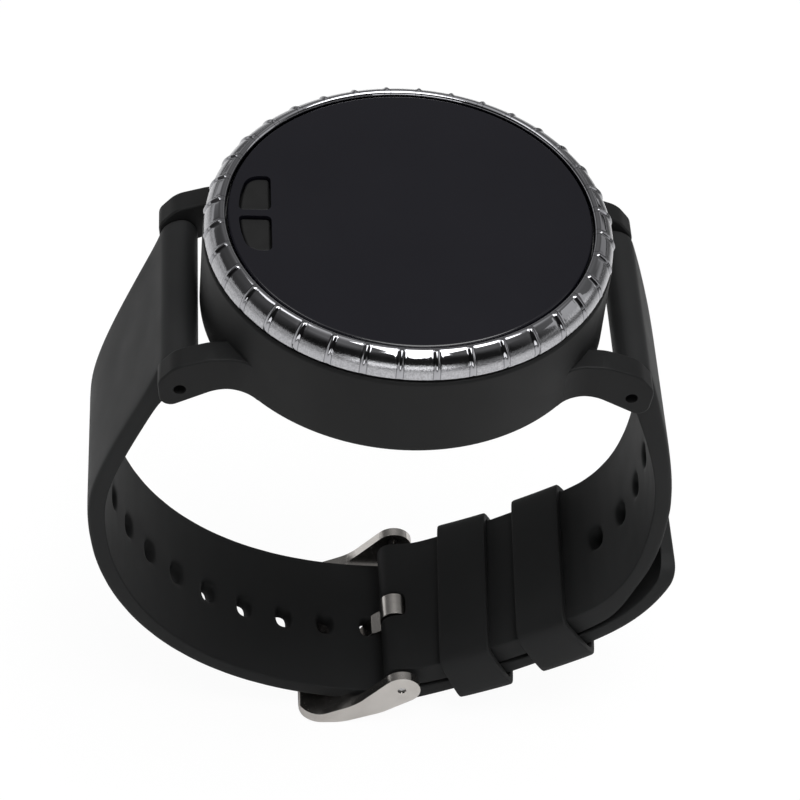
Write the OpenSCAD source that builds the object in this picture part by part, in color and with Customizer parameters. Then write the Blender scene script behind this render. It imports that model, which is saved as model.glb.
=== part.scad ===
// Wristwatch with a turning ribbed bezel, two buttons in the lens and a vibrating beat motor,
// worn on a two-piece silicone strap with a pin buckle and two sliding keepers.
// Millimetres. +Z is the bezel axis, face up. +X points to the buckle half of the strap.
// z = 0 is the flat outer face of the case back, and the origin is on the bezel axis there.

/* [Case] */
// Diameter of the case wall
case_d = 45.3; // [38:0.1:56]
// Height of the case's lower rim above the case back's outer face
case_rim_z = 2; // [1.7:0.1:3]
// Height of the wall, from the lower rim to the shoulder under the bezel
case_wall_h = 10.7; // [10.2:0.1:14]
// Thickness of the wall round the battery space
case_wall = 2.75; // [2.5:0.05:3.4]
// Height of the collar that the bezel turns on
collar_h = 1.7; // [1.6:0.05:2.4]
// Thickness of the collar
collar_t = 1.82; // [1.7:0.01:2.2]
// Thickness of the inner deck that carries the chassis and the board
deck_t = 1; // [0.8:0.1:1.4]

/* [Lugs] */
// Clear width between two lugs, for a strap end of this size less its clearance
lug_gap = 22.2; // [18.2:0.1:24.2]
// Thickness of one lug
lug_t = 3; // [2.4:0.1:3.6]
// Distance from the case wall out to the spring bar's axis
lug_reach = 2.5; // [2.4:0.05:4]
// Height of the spring bar's axis
lug_bar_z = 1.9; // [1.7:0.05:2.6]
// Radius of the hole through each lug
lug_hole_r = 0.7; // [0.65:0.01:0.8]

/* [Case back] */
// Height of the raised disc that rests on the wrist
back_pedestal_h = 1.4; // [1:0.1:1.6]
// Radius of the raised disc
back_pedestal_r = 15.2; // [11:0.1:15.4]
// Thickness of the flange that the screws hold
back_flange_t = 1.6; // [1.4:0.1:2]
// Radius of a case back screw's head
back_head_r = 1.1; // [1:0.05:1.2]
// Radius of a case back screw's shank
back_shank_r = 0.6; // [0.5:0.05:0.7]

/* [Bezel] */
// Radial width of the bezel ring
bezel_w = 2.5; // [2.3:0.05:3.4]
// Height of the bezel ring
bezel_h = 2.98; // [2.8:0.02:3.6]
// Number of raised ribs round the bezel
rib_count = 36; // [24:12:48]
// Width of one rib
rib_w = 0.7; // [0.5:0.05:0.9]
// Height of one rib above the bezel's surface
rib_h = 0.28; // [0.15:0.01:0.4]
// Running clearance between bezel bore and collar, on the radius
bezel_play = 0.08; // [0.03:0.01:0.1]

/* [Lens and buttons] */
// Thickness of the lens
lens_t = 1.1; // [1:0.05:1.6]
// Radius of the rounded edge of the lens
lens_edge_r = 0.45; // [0.2:0.05:0.6]
// Thickness of the adhesive under the lens
glue_t = 0.15; // [0.1:0.05:0.3]
// Length of one button along the rim
button_l = 5.2; // [4.4:0.1:6.4]
// Width of the lens web between the two buttons
button_web = 1.3; // [1:0.1:1.8]
// Gap round a button in its opening
button_gap = 0.15; // [0.1:0.01:0.25]
// How far a button's top lies below the lens's top
button_recess = 0.3; // [0.1:0.05:0.5]
// How far a button travels when pressed
button_travel = 0.3; // [0.2:0.05:0.4]

/* [Inside] */
// Thickness of the display module
display_t = 1.9; // [1.6:0.1:2]
// Thickness of the steel chassis plate
chassis_t = 0.6; // [0.5:0.05:0.8]
// Thickness of the main board
board_t = 0.8; // [0.6:0.1:1]
// Width of the battery
battery_w = 17; // [13:0.5:18]
// Thickness of the battery
battery_t = 4.6; // [3.4:0.1:5.2]
// Radius of the beat motor's can
motor_r = 5; // [4:0.1:5.2]
// Height of the beat motor
motor_h = 3.6; // [3:0.1:4.4]
// Radius of one charging contact
contact_r = 0.9; // [0.7:0.05:1.2]

/* [Strap] */
// Width of the strap between the keepers and at the buckle
strap_w = 20.6; // [17:0.1:22]
// Thickness of the long strap
long_t = 2.1; // [1.9:0.1:3]
// Thickness of the short strap under the keepers
short_t = 3.2; // [2.6:0.1:3.8]
// Radius of a strap's end round its spring bar
strap_end_r = 2.3; // [2:0.05:2.35]
// Distance between two adjusting holes
hole_pitch = 5.7; // [4.8:0.1:7]
// Length of a hole along the strap
hole_l = 2.2; // [2.1:0.1:2.6]
// Width of a hole across the strap
hole_w = 3.8; // [3.4:0.1:4.2]
// Rounding of the long strap's free corners
tail_corner_r = 3; // [1:0.5:5]

/* [Buckle and keepers] */
// Radius of the buckle's spring bar
pin_r = 0.75; // [0.7:0.01:0.8]
// Distance between the insides of the buckle's arms
buckle_gap = 22.4; // [21.8:0.1:24]
// Thickness of a buckle arm
arm_t = 1.2; // [1:0.1:1.5]
// Radius of a buckle arm's round end
arm_end_r = 2.3; // [2.1:0.05:2.5]
// Width of the tang
tang_w = 3.2; // [2.6:0.1:3.4]
// Thickness of the tang
tang_t = 0.8; // [0.6:0.05:0.85]
// Width of a keeper along the strap
keeper_w = 7; // [5:0.1:8]
// Thickness of a keeper's wall
keeper_t = 1; // [0.9:0.1:1.6]
// Gap between a keeper and the straps' faces inside it
keeper_gap = 0.22; // [0.2:0.02:0.5]
// Gap between a keeper and the straps' edges
keeper_side_gap = 0.35; // [0.3:0.05:0.6]

/* [Hidden] */
$fn = 64;
fit_gap = 0.05;        // a piece seated in its pocket
seat_gap = 0.15;       // a piece that drops loosely into its place
thread_gap = 0.03;     // a screw in its threaded hole
cut = 1;               // how far a cutting shape runs past the face it cuts

// case, from the axis outwards
case_r = case_d / 2;
case_top_z = case_rim_z + case_wall_h;
cavity_r = case_r - case_wall;
collar_r = case_r - 2.23;
collar_in_r = collar_r - collar_t;
collar_top_z = case_top_z + collar_h;
deck_z = case_top_z - deck_t - 1.1;
deck_top_z = deck_z + deck_t;
deck_in_r = collar_in_r - 1.2;
rim_round = 0.4;

// case back
back_top_z = back_pedestal_h + back_flange_t;
back_r = cavity_r + 0.7 - seat_gap;
back_seat_r = cavity_r + 0.7;
boss_r = 1.6;
boss_place_r = cavity_r - 1.4;
back_head_t = 0.7;
back_screw_l = 6;
seal_r = 0.33;
seal_z = back_pedestal_h + back_flange_t / 2;
seal_place_r = back_seat_r - seal_r - thread_gap;
contact_pitch = 3.2;
contact_count = 4;

// lugs and spring bars
lug_x = case_r + lug_reach;
lug_in_y = lug_gap / 2;
lug_out_y = lug_in_y + lug_t;
bar_r = 0.75;
bar_bore_r = 0.57;
tip_stem_r = 0.5;
tip_flange_r = 0.75;
tip_flange_t = 0.5;
tip_flange_gap = 0.15;
lug_tip_r = 0.6;
lug_tip_bite = 1.3;
tip_travel = 1.45;
stem_in = 3.4;

// bezel
bezel_bore_r = collar_r + bezel_play;
bezel_low_z = case_top_z + 0.25;
bezel_top_z = bezel_low_z + bezel_h;
bezel_r = bezel_bore_r + bezel_w;
crown_r = bezel_bore_r + 0.85;
crown_z = bezel_top_z - 0.2;
flank_low_z = bezel_low_z + 0.4;
flank_bulge = 0.35;
rib_first = 4.64;         // angle of the first rib
groove_z = bezel_low_z + 0.4;
groove_h = 0.6;
groove_depth = 0.45;
ring_h = groove_h - 2 * fit_gap;
ring_split = 16;
magnet_count = 12;
magnet_r = 0.4;
magnet_h = 0.5;
magnet_place_r = bezel_bore_r + 1.6;
click_place_r = bezel_bore_r + 0.6;
click_ball_r = 0.5;
click_dent_r = 0.58;
click_ball_z = bezel_low_z - 0.4;
click_travel = 0.12;
click_well = 1.8;

// lens, glue and buttons
lens_r = collar_r - 0.47;
lens_low_z = collar_top_z + glue_t;
lens_top_z = lens_low_z + lens_t;
button_out_r = lens_r - 1.05;
button_in_x = -button_out_r + 3.3;
button_round = 0.7;
button_top_z = lens_top_z - button_recess;
pocket_r = button_out_r + 0.45;
pocket_half = button_web / 2 + button_l + 1.1;
flange_out = 0.25;
flange_h = 0.85;
flange_low_z = chassis_z() + chassis_t + 0.8 + button_travel + 0.1;
switch_h = 0.8;
switch_bore_r = 0.85;
plunger_r = 0.8;

// inner stack
function chassis_z() = deck_top_z;
chassis_top_z = deck_top_z + chassis_t;
display_top_z = collar_top_z;
display_flat_x = button_in_x + 0.75;
board_top_z = deck_z - fit_gap;
board_z = board_top_z - board_t;
board_r = cavity_r - 0.3;
board_screw_count = 4;
board_screw_r = 0.5;
board_head_r = 0.85;
board_head_t = 0.4;
board_screw_place_r = (deck_in_r + board_r) / 2 + 0.1;
pad_t = 0.2;
inner_limit_r = boss_place_r - boss_r - 0.3;
battery_x1 = inner_limit_r * 0.72;
battery_x0 = battery_x1 - battery_w;
battery_corner_r = 1;
battery_l = 2 * sqrt(pow(inner_limit_r, 2) - pow(battery_x1, 2));
motor_x = battery_x0 - motor_r - 0.5;
motor_wall = 0.25;
motor_base_t = 0.4;
motor_shaft_r = 0.4;

// strap loop: a wide arc under the keepers, with the side curves tied to the lugs
stack_mid = [lug_x - 7.45, -51.69]; // middle of the arc, on the long strap's outer face
stack_lean = -60.6;               // direction from the arc's centre to that middle
stack_r = 95;
stack_half = 7.6;
stack_c = stack_mid - stack_r * [cos(stack_lean), sin(stack_lean)];
layer_gap = 0.5;
short_out_r = stack_r - long_t - layer_gap;
short_in_r = short_out_r - short_t;
left_slant = 15.2;
right_slant = 19.6;
left_side = [-(lug_x + 10.15), -22.7];
right_side = [lug_x + 6.05, -21.5];
loop_low = [stack_mid.x - 17.1, -57.6];
loop_low_heading = 88;
tail_r = 20;
tail_turn = 43;
long_taper = 6;
short_taper = 20;
keeper_end_taper = 8;
side_t = 2.1;
long_shift = 0.2;                 // the long strap's round end lies this far outwards of the bar's axis
long_end_r = strap_end_r - long_shift;
short_shift = 0.29 * strap_end_r; // and the short strap's
short_end_r = 0.84 * strap_end_r;
short_inset = 0.5;                // the short strap's wrist side, from the bar's axis
strap_end_w = lug_gap - 0.2;
strap_end_bore_r = bar_r + 0.1;
holes_to_lug = 8;
holes_to_tail = 3;
short_holes = 4;
short_hole_first = 26;
short_hole_pitch = 5.35;
curve_steps = 18;

// buckle
pin_angle = stack_lean - 8.1;
pin_rise = 0.7;
pin_place_r = (short_out_r + short_in_r) / 2 - pin_rise;
pin = stack_c + pin_place_r * [cos(pin_angle), sin(pin_angle)];
pin_boss_r = 1.6;
pin_tip_r = 0.45;
pin_hole_r = 0.53;
pin_tip_bite = 0.95;
pin_travel = 1.15;
pin_bore_r = 0.52;
pin_stem_r = 0.45;
pin_flange_r = 0.65;
arm_in_y = buckle_gap / 2;
arm_out_y = arm_in_y + arm_t;
bar_low = [-10, -6.45];           // lower outer corner of the front bar, from the pin
bar_h = 1.5;
bar_w = 3.2;
frame_corner_r = 3.2;
window_corner_r = 1.4;
tang_play = 0.05;
tang_ring_t = 0.55;
tang_slot_gap = 0.3;
tang_y = 0.25;             // the tang sits off the middle of the pin
tang_neck = 0.8;          // how much narrower the tang is where it passes the hole
tang_hole_x = stack_mid.x - 17.6;
tang_foot = [-4.05, -5.5];         // outer end of the tang's bend, from the pin

// keepers, as angles on the stack's arc
keeper_half = keeper_w / stack_r * 90 / PI;
keeper_1_angle = stack_lean - 2.1;
keeper_2_angle = stack_lean + 4.6;
keeper_skew = 2.5;
keeper_round = 1.1;

// Geometry helpers

function unit(v) = v / norm(v);
function wrapped(a) = a > 180 ? a - 360 : a < -180 ? a + 360 : a;

// Arc of radius r that rounds the corner p between its neighbours a and b
function corner_arc(a, p, b, r, n) =
    r <= 0 ? [p] :
    let (
        u = unit(a - p),
        v = unit(b - p),
        half = acos(u * v) / 2,
        c = p + unit(u + v) * r / sin(half),
        s = p + u * r / tan(half) - c,
        e = p + v * r / tan(half) - c,
        a0 = atan2(s.y, s.x),
        da = wrapped(atan2(e.y, e.x) - a0)
    )
    [for (i = [0:n]) c + r * [cos(a0 + da * i / n), sin(a0 + da * i / n)]];

// Closed outline through pts, with each corner rounded by its own radius
function rounded(pts, radii, n = 6) =
    let (m = len(pts))
    [for (i = [0:m - 1]) each corner_arc(pts[(i + m - 1) % m], pts[i], pts[(i + 1) % m], radii[i], n)];

// Arc from p to q that bulges by sag to the left of the way, or to the right where sag is negative
function bulged(p, q, sag, n) =
    let (
        chord = norm(q - p),
        r = (chord * chord / 4 + sag * sag) / (2 * sag),
        d = unit(q - p),
        c = (p + q) / 2 + [d.y, -d.x] * (r - sag),
        a0 = atan2(p.y - c.y, p.x - c.x),
        da = wrapped(atan2(q.y - c.y, q.x - c.x) - a0)
    )
    [for (i = [0:n]) c + abs(r) * [cos(a0 + da * i / n), sin(a0 + da * i / n)]];

// A strap is drawn in the XZ plane as frames [x, z, outward x, outward z] on its outer face
function frame_at(p, d) = [p.x, p.y, d.y, -d.x];
function curve_frames(p0, d0, p1, d1, k0, k1, n) =
    let (chord = norm(p1 - p0), c0 = p0 + d0 * k0 * chord, c1 = p1 - d1 * k1 * chord)
    [for (i = [0:n])
        let (
            t = i / n,
            s = 1 - t,
            p = s * s * s * p0 + 3 * s * s * t * c0 + 3 * s * t * t * c1 + t * t * t * p1,
            d = s * s * (c0 - p0) + 2 * s * t * (c1 - c0) + t * t * (p1 - c1)
        )
        frame_at(p, unit(d))];
function arc_frames(c, r, a0, a1, n) =
    [for (i = [0:n])
        let (a = a0 + (a1 - a0) * i / n)
        [c.x + r * cos(a), c.y + r * sin(a), cos(a), sin(a)]];
function without_first(f) = [for (i = [1:len(f) - 1]) f[i]];
function place(f) = [f[0], f[1]];
function outward(f) = [f[2], f[3]];
function run_lengths(f) =
    [for (i = 0, s = 0; i < len(f); s = i + 1 < len(f) ? s + norm(place(f[i + 1]) - place(f[i])) : s, i = i + 1) s];
function ease(u) = u >= 1 ? 0 : u <= 0 ? 1 : pow(1 - u, 2) * (1 + 2 * u);
function on_frames(f, runs, s) =
    [for (k = [0:3]) lookup(s, [for (i = [0:len(f) - 1]) [runs[i], f[i][k]]])];

// Long strap, on its outer face: lug, left side, bottom, arc under the keepers, free tail
left_down = [-sin(left_slant), -cos(left_slant)];
left_start = [-lug_x, lug_bar_z] + strap_end_r * [-cos(left_slant), sin(left_slant)];
arc_start = stack_lean - stack_half;
arc_end = stack_lean + stack_half;
arc_start_p = stack_c + stack_r * [cos(arc_start), sin(arc_start)];
low_dir = [sin(loop_low_heading), -cos(loop_low_heading)];
tail_c = stack_c + (stack_r - tail_r) * [cos(arc_end), sin(arc_end)];
long_frames = concat(
    curve_frames(left_start, left_down, left_side, [0, -1], 0.216, 0.25, curve_steps),
    without_first(curve_frames(left_side, [0, -1], loop_low, low_dir, 0.39, 0.44, 2 * curve_steps)),
    without_first(curve_frames(loop_low, low_dir, arc_start_p, [-sin(arc_start), cos(arc_start)], 0.35, 0.35, 8)),
    without_first(arc_frames(stack_c, stack_r, arc_start, arc_end, curve_steps)),
    without_first(arc_frames(tail_c, tail_r, arc_end, arc_end + tail_turn, curve_steps)));
long_runs = run_lengths(long_frames);
long_len = long_runs[len(long_runs) - 1];
function long_thickness(s) = long_t + (strap_end_r + long_end_r - long_shift - long_t) * ease(s / long_taper);

// Short strap, on its wrist side: from the buckle along the arc, then up the right side to its lug
band_start = pin_angle + 1.2;
right_up = [-sin(right_slant), cos(right_slant)];
right_out = [cos(right_slant), sin(right_slant)];
right_end = [lug_x, lug_bar_z] - short_inset * right_out;
short_end_t = short_end_r + short_shift + short_inset;
short_leave = stack_c + short_in_r * [cos(arc_end), sin(arc_end)];
short_frames = concat(
    arc_frames(stack_c, short_in_r, band_start, arc_end, curve_steps),
    without_first(curve_frames(short_leave, [-sin(arc_end), cos(arc_end)], right_side, [0, 1], 0.36, 0.36,
        curve_steps)),
    without_first(curve_frames(right_side, [0, 1], right_end, right_up, 0.3, 0.36, curve_steps)));
short_runs = run_lengths(short_frames);
short_len = short_runs[len(short_runs) - 1];
short_arc_len = (arc_end - band_start) * PI / 180 * short_in_r;
function short_thickness(s) =
    side_t + (short_t - side_t) * ease((s - short_arc_len) / keeper_end_taper)
    + (short_end_t - side_t) * ease((short_len - s) / short_taper);

// Arc length of the hole that holds the tang, found from its x beside the pin
tang_hole_index = max([for (i = [0:len(long_frames) - 1])
    long_frames[i][0] < tang_hole_x && long_frames[i][1] < lug_bar_z - 20 ? i : 0]);
tang_hole_s = long_runs[tang_hole_index]
    + (tang_hole_x - long_frames[tang_hole_index][0])
    / (long_frames[tang_hole_index + 1][0] - long_frames[tang_hole_index][0])
    * (long_runs[tang_hole_index + 1] - long_runs[tang_hole_index]);

// Extrudes an outline drawn in X and Z along Y
module along_y(y0, y1) {
    translate([0, y1, 0])
        rotate([90, 0, 0])
            linear_extrude(y1 - y0)
                children();
}

// Lies a shape that is modelled along Z down along Y, at a point of the XZ plane
module on_y_axis(p, y) {
    translate([p.x, y, p.y])
        rotate([-90, 0, 0])
            children();
}

module ring(r_out, r_in, z0, z1) {
    translate([0, 0, z0])
        difference() {
            cylinder(r = r_out, h = z1 - z0);
            translate([0, 0, -cut])
                cylinder(r = r_in, h = z1 - z0 + 2 * cut);
        }
}

module disc(r, z0, z1) {
    translate([0, 0, z0])
        cylinder(r = r, h = z1 - z0);
}

// Places copies at an equal spacing on a circle
module around(count, r, first = 0) {
    for (i = [0:count - 1])
        rotate([0, 0, first + 360 * i / count])
            translate([r, 0, 0])
                children();
}

// Case

// Side view of a lug: a bent horn with a round nose
function lug_outline() =
    rounded([
        [lug_x - 11, case_rim_z + 5],
        [lug_x - 3.2, lug_bar_z + 4.7],
        [lug_x + 0.6, lug_bar_z + 3.4],
        [lug_x + 2.5, lug_bar_z + 1],
        [lug_x + 2.05, lug_bar_z - 3.3],
        [lug_x - 4.2, case_rim_z],
        [lug_x - 11, case_rim_z]
    ], [0, 5, 3.5, 1.8, 1.3, 5, 0]);

module lugs() {
    for (mx = [0, 1], my = [0, 1])
        mirror([mx, 0, 0])
            mirror([0, my, 0])
                along_y(lug_in_y, lug_out_y)
                    polygon(lug_outline());
}

module button_pocket() {
    intersection() {
        disc(pocket_r, chassis_top_z, collar_top_z + cut);
        translate([-case_r, -pocket_half, 0])
            cube([case_r - collar_in_r * 0.6, 2 * pocket_half, collar_top_z + 2 * cut]);
    }
}

// Everything hollow inside the case: back seat, battery space, deck opening and collar bore
module case_hollow() {
    rotate_extrude($fn = 128)
        polygon([
            [0, case_rim_z - 4 * cut],
            [back_seat_r, case_rim_z - 4 * cut],
            [back_seat_r, back_top_z],
            [cavity_r, back_top_z],
            [cavity_r, deck_z],
            [deck_in_r, deck_z],
            [deck_in_r, deck_top_z],
            [collar_in_r, deck_top_z],
            [collar_in_r, collar_top_z + cut],
            [0, collar_top_z + cut]
        ]);
}

module case_body() {
    color("#262627")
        difference() {
            union() {
                difference() {
                    union() {
                        rotate_extrude($fn = 128)
                            polygon(rounded([
                                [0, case_rim_z],
                                [case_r, case_rim_z],
                                [case_r, case_top_z],
                                [collar_r, case_top_z],
                                [collar_r, groove_z],
                                [collar_r - groove_depth, groove_z],
                                [collar_r - groove_depth, groove_z + groove_h],
                                [collar_r, groove_z + groove_h],
                                [collar_r, collar_top_z],
                                [0, collar_top_z]
                            ], [0, rim_round, 0.3, 0, 0, 0, 0, 0, 0, 0]));
                        lugs();
                    }
                    case_hollow();
                }
                around(4, boss_place_r, 45)
                    disc(boss_r, back_top_z, deck_z + deck_t / 2);
            }
            button_pocket();
            rotate([0, 0, 90])
                translate([click_place_r, 0, 0])
                    disc(click_ball_r + fit_gap, case_top_z - click_well, case_top_z + cut);
            around(4, boss_place_r, 45)
                disc(back_shank_r + thread_gap, back_top_z - cut, back_pedestal_h + back_head_t + back_screw_l + 0.2);
            around(board_screw_count, board_screw_place_r)
                disc(board_screw_r + thread_gap, deck_z - cut, deck_z + deck_t - 0.1);
            for (sx = [-1, 1], sy = [-1, 1])
                on_y_axis([sx * lug_x, lug_bar_z], sy * (lug_in_y + lug_out_y) / 2 - lug_t)
                    cylinder(r = lug_hole_r, h = 2 * lug_t);
        }
}

module case_back() {
    color("#3a3b3d")
        difference() {
            union() {
                rotate_extrude($fn = 128)
                    polygon([
                        [0, 0],
                        [back_pedestal_r - 0.8, 0],
                        [back_pedestal_r, back_pedestal_h],
                        [back_r, back_pedestal_h],
                        [back_r, back_top_z],
                        [0, back_top_z]
                    ]);
            }
            rotate_extrude($fn = 96)
                translate([seal_place_r, seal_z])
                    polygon([
                        [-seal_r - thread_gap, -seal_r - fit_gap],
                        [back_r - seal_place_r + cut, -seal_r - fit_gap],
                        [back_r - seal_place_r + cut, seal_r + fit_gap],
                        [-seal_r - thread_gap, seal_r + fit_gap]
                    ]);
            around(4, boss_place_r, 45) {
                disc(back_head_r + fit_gap, back_pedestal_h - cut, back_pedestal_h + back_head_t);
                disc(back_shank_r + fit_gap, 0, back_top_z + cut);
            }
            contact_row()
                disc(contact_r + thread_gap, -cut, back_top_z + cut);
        }
}

module back_seal() {
    color("#202020")
        rotate_extrude($fn = 96)
            translate([seal_place_r, seal_z])
                circle(r = seal_r, $fn = 24);
}

module back_screws() {
    color("#8d8f92")
        around(4, boss_place_r, 45)
            difference() {
                union() {
                    disc(back_head_r, back_pedestal_h + 0.05, back_pedestal_h + back_head_t);
                    disc(back_shank_r, back_pedestal_h + 0.1, back_pedestal_h + back_head_t + back_screw_l);
                }
                for (turn = [0, 90])
                    rotate([0, 0, turn])
                        translate([-0.7, -0.12, back_pedestal_h - cut])
                            cube([1.4, 0.24, cut + 0.35]);
            }
}

module contact_row() {
    for (i = [0:contact_count - 1])
        translate([0, (i - (contact_count - 1) / 2) * contact_pitch, 0])
            children();
}

module charge_contacts() {
    color("#c9a24a")
        contact_row()
            disc(contact_r, 0.1, back_top_z);
}

// Bezel

// Outline of the bezel's outside, from its lower edge over the flank to the bore
function bezel_skin() =
    concat(
        [[bezel_bore_r + 2.3, bezel_low_z]],
        [[bezel_r, flank_low_z - 0.05]],
        bulged([bezel_r, flank_low_z], [crown_r, crown_z], -flank_bulge, 10),
        [[bezel_bore_r + 0.25, bezel_top_z]],
        [[bezel_bore_r + 0.08, bezel_top_z - 0.1]]);

// Side view of one rib, with its root sunk well into the ring
function rib_outline() =
    concat(
        [[bezel_r - 0.5, bezel_low_z + 0.5]],
        bulged([bezel_r + rib_h, flank_low_z + 0.25], [crown_r, bezel_top_z + rib_h * 0.35], -flank_bulge, 8),
        [[bezel_bore_r + 0.3, bezel_top_z + rib_h * 0.35]],
        [[bezel_bore_r + 0.3, bezel_top_z - 0.6]]);

module bezel_ribs() {
    for (i = [0:rib_count - 1])
        rotate([0, 0, rib_first + 360 * i / rib_count])
            along_y(-rib_w / 2, rib_w / 2)
                polygon(rib_outline());
}

module rotary_bezel() {
    color("#77797d")
        difference() {
            union() {
                rotate_extrude($fn = 144)
                    polygon(concat(
                        [[bezel_bore_r, bezel_low_z]],
                        bezel_skin(),
                        [
                            [bezel_bore_r, bezel_top_z - 0.2],
                            [bezel_bore_r, groove_z + groove_h],
                            [bezel_bore_r + groove_depth, groove_z + groove_h],
                            [bezel_bore_r + groove_depth, groove_z],
                            [bezel_bore_r, groove_z]
                        ]));
                bezel_ribs();
            }
            around(magnet_count, magnet_place_r)
                disc(magnet_r + fit_gap, bezel_low_z - cut, bezel_low_z + magnet_h + fit_gap);
            around(rib_count, click_place_r)
                translate([0, 0, click_ball_z])
                    sphere(r = click_dent_r);
        }
}

module bezel_magnets() {
    color("#b8bbbe")
        around(magnet_count, magnet_place_r)
            disc(magnet_r, bezel_low_z + 0.02, bezel_low_z + magnet_h);
}

module bezel_snap_ring() {
    color("#9a9c9f")
        difference() {
            ring(bezel_bore_r + groove_depth - bezel_play, collar_r - groove_depth + fit_gap,
                groove_z + fit_gap, groove_z + fit_gap + ring_h);
            rotate([0, 0, -90 - ring_split / 2])
                rotate_extrude(angle = ring_split)
                    translate([collar_r - 2, groove_z - cut])
                        square([4, groove_h + 2 * cut]);
        }
}

module click_ball() {
    color("#b8bbbe")
        translate([0, click_place_r, click_ball_z])
            sphere(r = click_ball_r);
}

module click_spring() {
    color("#9a9c9f")
        translate([0, click_place_r, 0])
            ring(click_ball_r - 0.08, click_ball_r - 0.25, case_top_z - click_well, click_ball_z - 0.45);
}

// Lens and buttons

// Plan of one button opening, grown or shrunk by a margin; side is 1 for the upper one
module button_plan(side, margin) {
    y0 = button_web / 2 - margin;
    y1 = button_web / 2 + button_l + margin;
    r_out = button_out_r + margin;
    x_in = button_in_x + margin;
    a0 = asin(y0 / r_out);
    a1 = asin(y1 / r_out);
    rim = [for (i = [0:6]) let (a = a0 + (a1 - a0) * i / 6) [-r_out * cos(a), r_out * sin(a)]];
    radii = [for (i = [0:6]) i == 0 || i == 6 ? button_round : 0];
    scale_y = side;
    polygon([for (p = rounded(concat(rim, [[x_in, y1], [x_in, y0]]), concat(radii, [button_round, button_round])))
        [p.x, p.y * scale_y]]);
}

module lens() {
    color("#1d1d20")
        difference() {
            rotate_extrude($fn = 128)
                polygon(rounded([
                    [0, lens_low_z],
                    [lens_r, lens_low_z],
                    [lens_r, lens_top_z],
                    [0, lens_top_z]
                ], [0, 0.1, lens_edge_r, 0]));
            for (side = [-1, 1])
                translate([0, 0, lens_low_z - cut])
                    linear_extrude(lens_t + 2 * cut)
                        button_plan(side, button_gap);
        }
}

module lens_adhesive() {
    color("#2e2e30")
        ring(lens_r - 0.1, pocket_r + 0.05, collar_top_z, lens_low_z);
}

module button_cap(side) {
    translate([0, 0, flange_low_z + flange_h - 0.01])
        linear_extrude(button_top_z - flange_low_z - flange_h + 0.01)
            button_plan(side, 0);
    translate([0, 0, flange_low_z])
        linear_extrude(flange_h)
            button_plan(side, flange_out);
}

module upper_button() {
    color("#1c1c1c")
        button_cap(1);
}

module lower_button() {
    color("#1c1c1c")
        button_cap(-1);
}

function switch_spot(side) = [button_in_x - 1.55, side * (button_web + button_l) / 2];

module at_switch(side) {
    translate([switch_spot(side).x, switch_spot(side).y, 0])
        children();
}

module switch_bodies() {
    color("#b0b2b4")
        for (side = [-1, 1])
            at_switch(side)
                difference() {
                    translate([-1.4, -1.7, chassis_top_z])
                        cube([2.8, 3.4, switch_h]);
                    disc(switch_bore_r, chassis_top_z + 0.1, chassis_top_z + switch_h + cut);
                }
}

module plunger(side) {
    at_switch(side)
        disc(plunger_r, flange_low_z - 0.65, flange_low_z);
}

module upper_plunger() {
    color("#d8d8d4")
        plunger(1);
}

module lower_plunger() {
    color("#d8d8d4")
        plunger(-1);
}

// Inner stack

module display_module() {
    color("#101014")
        intersection() {
            disc(collar_in_r - seat_gap, display_top_z - display_t, display_top_z);
            translate([display_flat_x, -case_r, 0])
                cube([2 * case_r, 2 * case_r, 2 * case_top_z]);
        }
}

module chassis_plate() {
    color("#8f9194")
        difference() {
            union() {
                disc(collar_in_r - seat_gap, deck_top_z, chassis_top_z);
                ring(collar_in_r - seat_gap - 0.6, collar_in_r - seat_gap - 1.6, chassis_top_z - 0.1,
                    display_top_z - display_t);
            }
            translate([-case_r, -pocket_half - 0.4, chassis_top_z])
                cube([case_r + display_flat_x, 2 * pocket_half + 0.8, cut]);
            translate([5, -1.6, deck_top_z - cut])
                cube([6, 3.2, 2 * cut + chassis_t]);
        }
}

module main_board() {
    color("#14532d")
        difference() {
            disc(board_r, board_z, board_top_z);
            around(4, boss_place_r, 45)
                translate([0, 0, board_z - cut])
                    cylinder(r = boss_r + 0.25, h = board_t + 2 * cut);
            around(4, cavity_r + 0.4, 45)
                translate([-0.6, -boss_r - 0.25, board_z - cut])
                    cube([2, 2 * boss_r + 0.5, board_t + 2 * cut]);
            around(board_screw_count, board_screw_place_r)
                disc(board_screw_r + fit_gap, board_z - cut, board_top_z + cut);
        }
}

// A chip on the board's lower face, or on its upper face where up is true
module chip(p, size, up = false) {
    z = up ? board_top_z : board_z - size.z;
    translate([p.x - size.x / 2, p.y - size.y / 2, z])
        cube(size);
}

module board_chips() {
    color("#2b2b2f") {
        chip([-8, 7], [6, 6, 0.9]);
        chip([-9, -8], [4.5, 4.5, 0.8]);
        chip([0, 0], [5, 4, 0.8]);
        chip([8, 8], [3, 3, 0.8]);
        chip([8, -6], [4, 6, 0.8]);
        chip([-14, 0], [2, 4, 0.8]);
        chip([1, 12], [3.2, 2, 0.7]);
        chip([0, -12], [3.2, 2.4, 0.7]);
        chip([8, 0], [2, 8, 0.6], true);
        chip([-6, 0], [5, 5, 0.6], true);
        chip([0, 13], [2.4, 1.6, 0.5], true);
        chip([0, -13], [2.4, 1.6, 0.5], true);
    }
}

module board_screws() {
    color("#8d8f92")
        around(board_screw_count, board_screw_place_r)
            union() {
                disc(board_head_r, board_z - board_head_t, board_z);
                disc(board_screw_r, board_z - 0.1, deck_z + deck_t - 0.25);
            }
}

module battery_plan() {
    polygon(rounded([
        [battery_x0, -battery_l / 2],
        [battery_x1, -battery_l / 2],
        [battery_x1, battery_l / 2],
        [battery_x0, battery_l / 2]
    ], [for (i = [0:3]) battery_corner_r]));
}

module battery() {
    color("#a9abae")
        translate([0, 0, back_top_z + pad_t])
            linear_extrude(battery_t)
                battery_plan();
}

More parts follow.
